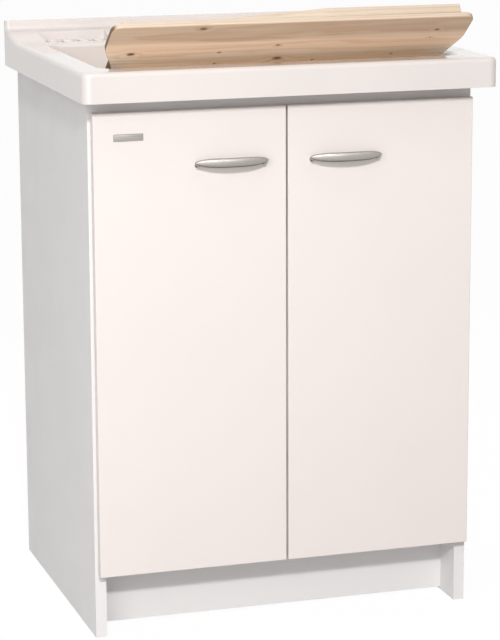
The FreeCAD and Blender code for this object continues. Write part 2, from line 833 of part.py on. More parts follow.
def hinge(side, sign, position, level):
    """A concealed hinge: a slotted cup with a pin in the door, and an arm on a plate on the side panel."""
    tag = f"{side}_{position}_hinge"
    arm_low, arm_high = f"{level} - arm_height / 2", f"{level} + arm_height / 2"

    cup_start = (f"{sign} * {CUP_U}", f"{DOOR_BACK} - cup_depth", level)
    shell = rod(tag + "_shell", "y", cup_start, "cup_radius", "cup_depth")
    flange_out = f"({CUP_U} + flange_width / 4)"
    flange = box(
        tag + "_flange",
        flank(sign, f"{flange_out} - flange_width", flange_out),
        (DOOR_BACK, f"{DOOR_BACK} + flange_plate"),
        (f"{level} - flange_length / 2", f"{level} + flange_length / 2"),
    )
    riser_end = f"({PIVOT_U} - riser_start - riser_thick)"
    slot = box(
        tag + "_slot",
        flank(sign, f"{riser_end} - knuckle_play", f"{PIVOT_U} + knuckle_radius + knuckle_play"),
        (f"{PIVOT_Y} - knuckle_radius - knuckle_play", f"{DOOR_BACK} + 2 * flange_plate"),
        (f"{arm_low} - arm_play", f"{arm_high} + arm_play"),
    )
    pin_start = (f"{sign} * {PIVOT_U}", PIVOT_Y, f"{level} - pin_length / 2")
    pin_seat = rod(tag + "_pin_seat", "z", pin_start, "pin_radius + 0.2 * pin_fit", "pin_length")
    flange_screws, screw_holes = [], []
    for end in (-1, 1):
        x = f"{sign} * ({CUP_U} - flange_screw_inset)"
        z = f"{level} + {end} * flange_screw_pitch / 2"
        start = (x, f"{DOOR_BACK} - flange_screw_length", z)
        reach = "flange_screw_length + flange_plate"
        screw_holes.append(rod(f"{tag}_flange_hole_{end}", "y", start, "plate_screw_radius", reach))
        shank = rod(f"{tag}_flange_shank_{end}", "y", start, "plate_screw_radius", reach)
        cap_start = (x, f"{DOOR_BACK} + flange_plate", z)
        cap = rod(f"{tag}_flange_cap_{end}", "y", cap_start, "screw_head_radius", "screw_head_thick")
        flange_screws.append(fuse(f"{tag}_flange_screw_{end}", shank, cap))
    cup = cut(tag + "_cup", fuse(tag + "_cup_blank", shell, flange), slot, pin_seat, *screw_holes)
    node(cup, tag + "_cup")
    node(rod(tag + "_pin", "z", pin_start, "pin_radius", "pin_length"), tag + "_pin")

    knuckle_y = f"({PIVOT_Y} - knuckle_radius)"
    knuckle_start = (f"{sign} * {PIVOT_U}", PIVOT_Y, arm_low)
    knuckle = rod(tag + "_knuckle", "z", knuckle_start, "knuckle_radius", "arm_height")
    neck = box(
        tag + "_neck",
        flank(sign, riser_end, PIVOT_U),
        (knuckle_y, f"{PIVOT_Y} + neck_rise"),
        (arm_low, arm_high),
    )
    riser = box(
        tag + "_riser",
        flank(sign, riser_end, f"{riser_end} + riser_thick"),
        (knuckle_y, f"{PANEL_FRONT} + plate_start"),
        (arm_low, arm_high),
    )
    bar = box(
        tag + "_bar",
        flank(sign, riser_end, f"{CARCASS_IN} - plate_thick"),
        (f"{PANEL_FRONT} + arm_start", f"{PANEL_FRONT} + arm_end"),
        (arm_low, arm_high),
    )
    bore = rod(tag + "_bore", "z", knuckle_start, "pin_radius + pin_fit", "arm_height")
    node(cut(tag + "_arm", fuse(tag + "_arm_blank", knuckle, neck, riser, bar), bore), tag + "_arm")

    plate_y = (f"{PANEL_FRONT} + plate_start", f"{PANEL_FRONT} + plate_end")
    plate_face = f"({CARCASS_IN} - plate_thick)"
    blank = box(
        tag + "_plate_blank",
        flank(sign, plate_face, CARCASS_IN),
        plate_y,
        (f"{level} - plate_length / 2", f"{level} + plate_length / 2"),
    )
    plate_holes, plate_screws = [], []
    for end in (-1, 1):
        place = (f"({plate_y[0]} + {plate_y[1]}) / 2", f"{level} + {end} * plate_screw_pitch / 2")
        plate_holes.append(
            side_rod(f"{tag}_plate_hole_{end}", sign, CARCASS_IN, plate_face, *place, "plate_screw_radius")
        )
        ends = (f"{CARCASS_IN} + plate_screw_length", plate_face)
        shank = side_rod(f"{tag}_plate_shank_{end}", sign, *ends, *place, "plate_screw_radius")
        cap_ends = (plate_face, f"{plate_face} - screw_head_thick")
        cap = side_rod(f"{tag}_plate_cap_{end}", sign, *cap_ends, *place, "screw_head_radius")
        plate_screws.append(fuse(f"{tag}_plate_screw_{end}", shank, cap))
    node(cut(tag + "_plate", blank, *plate_holes), tag + "_plate")
    return flange_screws, plate_screws


def hinges():
    """Two hinges a door, with their screws grouped by what they hold."""
    for side, sign in SIDES.items():
        flange_screws, plate_screws = [], []
        for position, level in HINGE_LEVELS.items():
            door_set, panel_set = hinge(side, sign, position, level)
            flange_screws += door_set
            plate_screws += panel_set
        node(group(side + "_cup_screws", flange_screws), side + "_cup_screws")
        node(group(side + "_plate_screws", plate_screws), side + "_plate_screws")


# Washboard


def tilted(name):
    """A body whose Y runs down the board's slope from its top edge and whose Z rises square to the board."""
    plank = body(name)
    plank.Placement = FreeCAD.Placement(FreeCAD.Vector(), FreeCAD.Rotation(FreeCAD.Vector(1, 0, 0), -1))
    bind(plank, Placement__Base__y=BOARD_Y, Placement__Base__z=BOARD_Z)
    bind(plank, Placement__Rotation__Angle="-board_slope")
    return plank


def washboard():
    """A head plank with tapered shoulders, a ribbed board behind it, and a rest on the tub's front wall."""
    head = tilted("washboard_head")
    face = sketch(head, "XY_Plane")
    half = f"({BOWL_HALF} - head_side_gap)"
    taper_x = f"({half} - shoulder_round * (1 - cos(shoulder_taper)))"
    taper_y = "(shoulder_start + shoulder_round * sin(shoulder_taper))"
    foot_x = f"({taper_x} - (head_length - {taper_y}) * tan(shoulder_taper))"
    outline(
        face,
        [
            (f"head_round - {half}", "0"),
            (f"{half} - head_round", "0", "head_round", "left"),
            (half, "head_round"),
            (half, "shoulder_start", "shoulder_round", "left"),
            (taper_x, taper_y),
            (foot_x, "head_length"),
            (f"-{foot_x}", "head_length"),
            (f"-{taper_x}", taper_y, "shoulder_round", "left"),
            (f"-{half}", "shoulder_start"),
            (f"-{half}", "head_round", "head_round", "left"),
        ],
    )
    pad(head, face, "head_thick")
    node(head, "washboard_head")

    board = tilted("washboard_panel")
    half = f"({BOWL_HALF} - board_side_gap)"
    shape = sketch(board, "XY_Plane", "head_thick")
    outline(
        shape,
        [
            ("relief_start", "0"),
            (half, "0"),
            (half, "board_length"),
            (f"-{half}", "board_length"),
            (f"-{half}", "relief_depth"),
            ("relief_end", "relief_depth"),
        ],
    )
    pad(board, shape, "board_thick")
    top = "(head_thick + board_thick)"
    section = sketch(board, "YZ_Plane")
    outline(
        section,
        [
            ("rib_first - rib_half", top),
            ("rib_first + rib_half", top, "((rib_half ^ 2 + rib_rise ^ 2) / (2 * rib_rise))", "left"),
        ],
    )
    rib = pad(board, section, f"2 * ({half} - rib_margin)", symmetric=True)
    ribs = board.newObject("PartDesign::LinearPattern", "washboard_ribs")
    ribs.Originals = [rib]
    ribs.Direction = (section, ["H_Axis"])
    steps = "floor((board_length - rib_first - rib_end) / rib_pitch)"
    bind(ribs, Length=f"rib_pitch * {steps}", Occurrences=f"{steps} + 1")
    board.Tip = ribs
    doc.recompute()
    node(board, "washboard_panel")

    wedge = body("washboard_rest")
    wall_slope = f"((rim_height - {SKIRT_BOTTOM}) / ({KNEE_Y} - {LIP_Y}))"
    toe_y = f"({LIP_Y} + rest_toe)"
    toe_z = f"(rim_height - rest_toe * {wall_slope} + 1.5 * rest_play)"
    joint_y = f"({BOARD_Y} + head_length * cos(board_slope))"
    joint_z = f"({BOARD_Z} - head_length * sin(board_slope))"
    upper_y = f"({joint_y} + head_thick * sin(board_slope))"
    upper_z = f"({joint_z} + head_thick * cos(board_slope))"
    profile = sketch(wedge, "YZ_Plane")
    outline(
        profile,
        [
            (toe_y, toe_z),
            (f"{toe_y} + rest_seat", f"{toe_z} - rest_seat * {wall_slope}"),
            (f"{upper_y} + rest_heel * cos(board_slope)", f"{upper_z} - rest_heel * sin(board_slope)"),
            (upper_y, upper_z),
            (joint_y, joint_z),
        ],
    )
    pad(wedge, profile, f"2 * ({BOWL_HALF} - rest_side_gap)", symmetric=True)
    node(wedge, "washboard_rest")


# Waste and trap


def waste():
    """Drain flange with its strainer, stopper, seal and nut, and a bottle trap with a pipe to the wall."""

    def at(z):
        return ("0", DRAIN_Y, z)

    tail_end = f"({BOWL_UNDER} - tail_length)"
    bore = "(drain_radius - drain_wall)"
    disc = rod("flange_disc", "z", at(BOWL_FLOOR), "drain_radius + drain_flange_lip", "drain_flange_thick")
    tail = rod("flange_tail", "z", at(tail_end), "drain_radius", f"{BOWL_FLOOR} - {tail_end}")
    strainer_z = f"({BOWL_FLOOR} - strainer_drop - strainer_thick)"
    over_z = f"{strainer_z} + strainer_thick"
    over = rod("over_strainer", "z", at(over_z), bore, "strainer_drop + 2 * drain_flange_thick")
    below = rod("below_strainer", "z", at(tail_end), bore, f"{strainer_z} - {tail_end}")
    openings = [rod("strainer_hole", "z", at(strainer_z), "strainer_hole", "strainer_thick")]
    for i in range(int(number("strainer_count"))):
        turn = f"({i} * 360 / strainer_count)"
        place = (f"strainer_ring * cos({turn})", f"{DRAIN_Y} + strainer_ring * sin({turn})", strainer_z)
        openings.append(rod(f"strainer_hole_{i}", "z", place, "strainer_hole", "strainer_thick"))
    node(cut("drain_flange", fuse("flange_blank", disc, tail), over, below, *openings), "drain_flange")

    flange_top = f"({BOWL_FLOOR} + drain_flange_thick)"
    plug_low = f"({BOWL_FLOOR} - stopper_depth)"
    plug_height = f"{flange_top} - {plug_low} + stopper_play"
    plug = rod("stopper_plug", "z", at(plug_low), f"{bore} - stopper_play", plug_height)
    cap_low = f"({flange_top} + stopper_play)"
    cap = rod("stopper_cap", "z", at(cap_low), f"{bore} + stopper_lip", "stopper_cap_thick")
    knob = rod("stopper_knob", "z", at(cap_low), "stopper_knob_radius", "stopper_knob_height")
    node(fuse("drain_stopper", plug, cap, knob), "drain_stopper")

    seal_z = f"({BOWL_UNDER} - waste_seal_thick)"
    seal_radius = "drain_radius + waste_seal_lip"
    seal_bore = "(drain_radius + drain_fit)"
    seal = tube("waste_seal", "z", at(seal_z), seal_radius, seal_bore, "waste_seal_thick")
    node(seal, "waste_seal")

    hexagon = doc.addObject("Part::Prism", "waste_nut_blank")
    hexagon.Polygon = 6
    nut_z = f"({seal_z} - waste_nut_height)"
    bind(hexagon, Circumradius="drain_radius + waste_nut_lip", Height="waste_nut_height")
    bind(hexagon, Placement__Base__y=DRAIN_Y, Placement__Base__z=nut_z)
    thread = rod("waste_nut_bore", "z", at(nut_z), "drain_radius + thread_fit", "waste_nut_height")
    node(cut("waste_nut", hexagon, thread), "waste_nut")

    inlet_z = f"({tail_end} - inlet_nut_height / 2)"
    grip = "drain_radius + thread_fit"
    nut_radius = "drain_radius + inlet_nut_wall"
    node(tube("trap_inlet_nut", "z", at(inlet_z), nut_radius, grip, "inlet_nut_height"), "trap_inlet_nut")

    body_top = f"({tail_end} - neck_length)"
    socket = "(outlet_radius - outlet_step + thread_fit)"
    stub_radius = f"({socket} + trap_wall)"
    outlet_z = f"({body_top} - stub_cover - {stub_radius})"
    body_low = f"({outlet_z} - {stub_radius} - stub_gap - ring_height / 2)"
    stub_end = f"({DRAIN_Y} + trap_radius + outlet_stub)"
    socket_y = f"({stub_end} - outlet_socket)"
    neck = rod("trap_neck", "z", at(body_top), "drain_radius", "neck_length")
    main = rod("trap_main", "z", at(body_low), "trap_radius", f"{body_top} - {body_low}")
    stub = rod("trap_stub", "y", ("0", DRAIN_Y, outlet_z), stub_radius, f"{stub_end} - {DRAIN_Y}")
    inner_radius = "trap_radius - trap_wall"
    way_radius = "outlet_radius - outlet_wall"
    cavity = rod("trap_cavity", "z", at(body_low), inner_radius, f"{body_top} - trap_wall - {body_low}")
    outlet = rod("trap_outlet", "y", ("0", DRAIN_Y, outlet_z), way_radius, f"{stub_end} - {DRAIN_Y}")
    counter = rod("trap_socket", "y", ("0", socket_y, outlet_z), socket, "outlet_socket")
    hollow = cut("trap_hollow", fuse("trap_blank", neck, main, stub), cavity, outlet, counter)
    dip_low = f"({body_low} - dip_length)"
    dip = rod("trap_dip", "z", at(dip_low), "dip_radius", f"{body_top} - {dip_low}")
    dip_bore = rod("trap_dip_bore", "z", at(dip_low), "dip_radius - outlet_wall", f"{tail_end} - {dip_low}")
    node(cut("trap_body", fuse("trap_joined", hollow, dip), dip_bore), "trap_body")

    cup_low = f"({body_low} - cup_height)"
    cup = rod("trap_cup_blank", "z", at(cup_low), "trap_radius", "cup_height")
    inside = rod("trap_cup_cavity", "z", at(f"{cup_low} + trap_wall"), inner_radius, "cup_height")
    node(cut("trap_cup", cup, inside), "trap_cup")
    ring_z = f"({body_low} - ring_height / 2)"
    ring_bore = "trap_radius + thread_fit"
    ring = tube("trap_ring", "z", at(ring_z), f"{ring_bore} + ring_wall", ring_bore, "ring_height")
    node(ring, "trap_ring")

    lip_end = f"({stub_end} + outlet_nut_lip)"
    socket_start = ("0", socket_y, outlet_z)
    held_length = f"{lip_end} - {socket_y}"
    collar = rod("outlet_nut_blank", "y", socket_start, f"{stub_radius} + outlet_nut_wall", held_length)
    over_stub = rod("outlet_nut_bore", "y", socket_start, f"{stub_radius} + thread_fit", "outlet_socket")
    over_pipe = rod("outlet_nut_mouth", "y", ("0", stub_end, outlet_z), socket, "outlet_nut_lip")
    node(cut("trap_outlet_nut", collar, over_stub, over_pipe), "trap_outlet_nut")

    held = rod("pipe_held", "y", socket_start, "outlet_radius - outlet_step", held_length)
    free = rod("pipe_free", "y", ("0", lip_end, outlet_z), "outlet_radius", f"{BACK} - {lip_end}")
    way = rod("pipe_bore", "y", socket_start, way_radius, f"{BACK} - {socket_y}")
    node(cut("outlet_pipe", fuse("pipe_blank", held, free), way), "outlet_pipe")


def check():
    """Stops if an object failed, or if a sub-part has no valid shape."""
    doc.recompute()
    faulty = [o.Name for o in doc.Objects if {"Invalid", "Error"} & set(o.State)]
    faulty += [n.Label for n in NODES if n.Shape.isNull() or not n.Shape.isValid() or not n.Shape.Solids]
    if faulty:
        raise RuntimeError(f"failed objects: {faulty}")


def write():
    """Writes each sub-part to its own file."""
    os.makedirs("parts", exist_ok=True)
    for piece in NODES:
        piece.Shape.exportStep(f"parts/{piece.Label}.step")
        limits = piece.Shape.BoundBox
        volume = piece.Shape.Volume / 1000
        print(f"{piece.Label}: {len(piece.Shape.Solids)} solid(s), {volume:.2f} cm3, {limits}")


carcass()
washtub()
for door_side, door_sign in SIDES.items():
    door(door_side, door_sign)
    handle(door_side, door_sign)
nameplate()
bumpers()
hinges()
washboard()
waste()
check()
write()
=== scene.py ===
"""Looks of a laundry sink cabinet: a glossy tub on a white two-door cabinet, with a pine washboard.

Metres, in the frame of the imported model: +Z up, +Y to the wall, +X to the right of someone facing
the doors. Every new surface is worked out as whole arrays and put in place in its own mesh.
"""

import json
import logging
import math
from dataclasses import dataclass, replace
from enum import Enum
from functools import cache, partial, reduce
from typing import Callable, Sequence

import bmesh
import bpy
import numpy as np
from mathutils import Matrix, Vector

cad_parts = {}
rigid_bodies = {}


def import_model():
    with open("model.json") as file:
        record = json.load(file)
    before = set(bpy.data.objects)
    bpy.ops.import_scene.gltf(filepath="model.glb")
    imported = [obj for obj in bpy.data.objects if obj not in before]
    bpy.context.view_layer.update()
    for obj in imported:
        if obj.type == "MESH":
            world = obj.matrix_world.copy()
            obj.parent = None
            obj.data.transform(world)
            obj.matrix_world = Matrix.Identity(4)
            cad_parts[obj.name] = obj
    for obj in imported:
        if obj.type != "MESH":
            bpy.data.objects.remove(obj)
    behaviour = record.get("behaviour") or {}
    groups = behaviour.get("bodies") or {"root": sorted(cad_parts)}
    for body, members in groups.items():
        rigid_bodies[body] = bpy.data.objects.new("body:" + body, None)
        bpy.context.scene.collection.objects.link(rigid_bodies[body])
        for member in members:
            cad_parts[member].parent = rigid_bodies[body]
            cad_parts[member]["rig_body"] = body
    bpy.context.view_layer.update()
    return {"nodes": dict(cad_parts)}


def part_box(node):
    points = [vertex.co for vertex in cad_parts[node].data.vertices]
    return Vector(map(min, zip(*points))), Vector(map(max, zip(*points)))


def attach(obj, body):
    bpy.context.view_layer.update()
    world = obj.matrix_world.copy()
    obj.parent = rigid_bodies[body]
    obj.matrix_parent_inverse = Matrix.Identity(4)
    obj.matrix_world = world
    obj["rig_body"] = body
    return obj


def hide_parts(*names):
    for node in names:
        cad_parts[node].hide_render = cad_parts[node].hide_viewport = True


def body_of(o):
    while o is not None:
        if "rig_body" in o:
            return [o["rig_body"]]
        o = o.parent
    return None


LOG = logging.getLogger("laundry_sink_cabinet")
MM = 0.001
DOOR_FACE = -205.5 * MM
DOOR_BACK = -189.5 * MM
WHITE = (1.0, 1.0, 1.0)
WARM_WHITE = (1.0, 0.985, 0.975)

Array = np.ndarray
Colour = tuple[float, float, float]
Place = tuple[float, float, float]
Material = bpy.types.Material
Piece = bpy.types.Object
Socket = bpy.types.NodeSocket
Value = Socket | float | tuple[float, ...]
Inputs = dict[str | int, Value]

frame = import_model()


class Slot(Enum):
    """The record's material slots."""

    TUB = "tub_white"
    DOOR = "door_white"
    CARCASS = "carcass_white"
    PINE = "pine"
    BEECH = "beech"
    NICKEL = "satin_nickel"
    HINGE = "hinge_steel"
    ZINC = "zinc"
    CHROME = "chrome"
    RUBBER = "rubber_grey"
    BUMPER = "bumper"
    TRAP = "trap_white"


class Side(Enum):
    """A side of the cabinet, as its direction along X."""

    LEFT = -1
    RIGHT = 1

    @property
    def word(self) -> str:
        """The side's name, as the nodes have it."""
        return self.name.lower()


class Axis(Enum):
    """The line that a profile is turned about, as the order in which a point's coordinates are taken."""

    UP = (0, 1, 2)
    BACK = (0, 2, 1)


# Shaders


class Graph:
    """A node tree, with short calls for the nodes that the finishes and the studio need."""

    def __init__(self, tree: bpy.types.NodeTree) -> None:
        """Takes up a tree."""
        self.tree = tree

    def feed(self, socket: Socket, value: Value) -> None:
        """Links an output to a socket, or sets the socket's own value.

        Args:
            socket: the socket to feed.
            value: an output, a number, a vector or a colour without its alpha.
        """
        if isinstance(value, Socket):
            self.tree.links.new(value, socket)
        elif socket.type == "RGBA":
            socket.default_value = (*value, 1.0)
        else:
            socket.default_value = value

    def node(self, kind: str, inputs: Inputs | None = None, **settings: str) -> bpy.types.Node:
        """Adds a node.

        Args:
            kind: the node's type name, without the ShaderNode prefix.
            inputs: what feeds its sockets, by their names or numbers.
            settings: properties of the node to set first.

        Returns:
            The new node.
        """
        made = self.tree.nodes.new("ShaderNode" + kind)
        for key, setting in settings.items():
            setattr(made, key, setting)
        for key, value in (inputs or {}).items():
            self.feed(made.inputs[key], value)
        return made

    def math(self, operation: str, a: Value, b: Value = 0.0) -> Socket:
        """Arithmetic on numbers or outputs."""
        return self.node("Math", {0: a, 1: b}, operation=operation).outputs[0]

    def plus(self, *terms: Value) -> Socket:
        """The sum of its terms."""
        return reduce(partial(self.math, "ADD"), terms)

    def times(self, *factors: Value) -> Socket:
        """The product of its factors."""
        return reduce(partial(self.math, "MULTIPLY"), factors)

    def seen(self) -> Socket:
        """Tells what is looked at from what only gives light.

        Returns:
            1 for rays from the camera, a mirror or a clear piece, and 0 for all others.
        """
        rays = self.node("LightPath").outputs
        looks = self.math("MAXIMUM", rays["Is Camera Ray"], rays["Is Glossy Ray"])
        return self.math("MAXIMUM", looks, rays["Is Transmission Ray"])


class Shader(Graph):
    """A procedural material in the making."""

    def __init__(self, name: str) -> None:
        """Starts a material with one surface shader.

        Args:
            name: the material's name.
        """
        self.material = bpy.data.materials.new(name)
        self.material.use_nodes = True
        super().__init__(self.material.node_tree)
        self.surface = self.tree.nodes["Principled BSDF"]

    def vector(self, operation: str, a: Value, b: Value) -> Socket:
        """Arithmetic on vectors."""
        return self.node("VectorMath", {0: a, 1: b}, operation=operation).outputs["Vector"]

    def split(self, vector: Socket) -> tuple[Socket, ...]:
        """A vector's parts along X, Y and Z."""
        return tuple(self.node("SeparateXYZ", {0: vector}).outputs)

    def facing(self) -> tuple[Socket, ...]:
        """The parts of the surface's outward direction along X, Y and Z."""
        return self.split(self.node("NewGeometry").outputs["Normal"])

    def place(self, scale: Place = (1, 1, 1), turn: Place = (0, 0, 0), origin: Place = (0, 0, 0)) -> Socket:
        """The piece's own coordinates, seen from an origin in a turned frame and then stretched.

        Args:
            scale: how many pattern lengths go into a metre along each axis.
            turn: the frame's turn about X, Y and Z, in radians.
            origin: the frame's origin.

        Returns:
            The vector output.
        """
        inputs = {"Vector": self.node("TexCoord").outputs["Object"], "Location": origin, "Rotation": turn}
        turned = self.node("Mapping", inputs, vector_type="TEXTURE")
        return self.vector("MULTIPLY", turned.outputs["Vector"], scale)

    def noise(self, vector: Socket, scale: float = 1.0, detail: float = 3.0, rough: float = 0.5) -> Socket:
        """Cloudy noise from 0 to 1 at a place."""
        inputs = {"Vector": vector, "Scale": scale, "Detail": detail, "Roughness": rough}
        return self.node("TexNoise", inputs).outputs["Fac"]

    def fade(self, value: Value, low: float, high: float, start: float = 0.0, end: float = 1.0) -> Socket:
        """A smooth step from start at low to end at high."""
        inputs = {"Value": value, "From Min": low, "From Max": high, "To Min": start, "To Max": end}
        return self.node("MapRange", inputs, interpolation_type="SMOOTHSTEP").outputs["Result"]

    def mix(self, share: Value, a: Value, b: Value) -> Socket:
        """A colour between a and b, which the Mix node takes at its sockets 6 and 7."""
        return self.node("Mix", {0: share, 6: a, 7: b}, data_type="RGBA").outputs[2]

    def bump(self, height: Socket, depth: float, strength: float,
             under: Socket | None = None) -> Socket:
        """A normal from a height field.

        Args:
            height: the field.
            depth: its full swing in metres.
            strength: how much of it shows.
            under: a normal that it lies on.

        Returns:
            The normal.
        """
        inputs: Inputs = {"Strength": strength, "Distance": depth, "Height": height}
        if under is not None:
            inputs["Normal"] = under
        return self.node("Bump", inputs).outputs["Normal"]

    def finish(self, **values: Value) -> Material:
        """Feeds sockets of the surface shader.

        Args:
            values: what feeds each socket, under its name with _ for a space.

        Returns:
            The material.
        """
        for key, value in values.items():
            self.feed(self.surface.inputs[key.replace("_", " ")], value)
        return self.material


@dataclass(frozen=True)
class Moulding:
    """Glossy moulded plastic with a slow ripple, faint clouding and fine scuffs."""

    name: str
    colour: Colour
    shade: Colour
    roughness: float = 0.1
    coat: float = 0.35

    def material(self) -> Material:
        """Makes the material: clouded colour, scuffed roughness, rippled normal.

        Returns:
            The material.
        """
        s = Shader(self.name)
        here = s.place()
        cloud = s.noise(here, 5.0, 4.0)
        scuffs = s.noise(s.place((9, 260, 260), (0, 0, 0.5)), 1.0, 3.0, 0.6)
        ripple = s.bump(s.noise(here, 14.0, 2.0), 0.0006, 0.2)
        return s.finish(
            Base_Color=s.mix(s.fade(cloud, 0.35, 0.7), self.colour, self.shade),
            Roughness=s.fade(scuffs, 0.45, 0.75, self.roughness, self.roughness + 0.1),
            IOR=1.5,
            Coat_Weight=self.coat,
            Coat_Roughness=0.06,
            Normal=s.bump(s.noise(here, 900.0, 2.0), 0.00002, 0.25, ripple),
        )


@dataclass(frozen=True)
class FoilBoard:
    """Smooth white foil on board, with a faint orange-peel grain and slight toning over its area."""

    name: str
    colour: Colour
    shade: Colour
    roughness: float = 0.34
    peel: float = 0.00004

    def material(self) -> Material:
        """Makes the material: toned colour, uneven sheen, orange-peel normal.

        Returns:
            The material.
        """
        s = Shader(self.name)
        here = s.place()
        tone = s.noise(here, 2.2, 3.0, 0.55)
        sheen = s.noise(here, 24.0, 4.0, 0.6)
        return s.finish(
            Base_Color=s.mix(s.fade(tone, 0.3, 0.72), self.colour, self.shade),
            Roughness=s.fade(sheen, 0.3, 0.7, self.roughness - 0.05, self.roughness + 0.06),
            IOR=1.47,
            Normal=s.bump(s.noise(here, 420.0, 2.0, 0.45), self.peel, 0.35),
        )


@dataclass(frozen=True)
class Knot:
    """A knot in a plank: its place along and down the board, its half width and its darkness."""

    along: float
    down: float
    radius: float
    dark: float = 1.0

    def shrink(self) -> Place:
        """What brings the knot's outline, which is longer along the grain, to a circle of radius 1."""
        return (0.62 / self.radius, 1.0 / self.radius, 0.0)


@dataclass(frozen=True)
class Grooves:
    """Painted shade between the ribs of a ribbed board: the face's level, the ribs' rise and their area."""

    level: float
    rise: float
    start: float
    end: float
    half_width: float
    tone: float = 0.62

    def cover(self, s: Shader, along: Socket, down: Socket, up: Socket) -> Socket:
        """Finds the wood that lies low between the ribs, where shade is painted.

        Args:
            s: the material in the making.
            along: the distance from the board's middle.
            down: the distance down the board.
            up: the distance square to the board.

        Returns:
            1 in the grooves and 0 elsewhere, with soft borders.
        """
        return s.times(
            s.fade(down, self.start - 0.002, self.start),
            s.fade(down, self.end, self.end + 0.002, 1.0, 0.0),
            s.fade(s.math("ABSOLUTE", along), self.half_width - 0.004, self.half_width, 1.0, 0.0),
            s.fade(up, self.level, self.level + 0.8 * self.rise, 1.0, 0.0),
        )


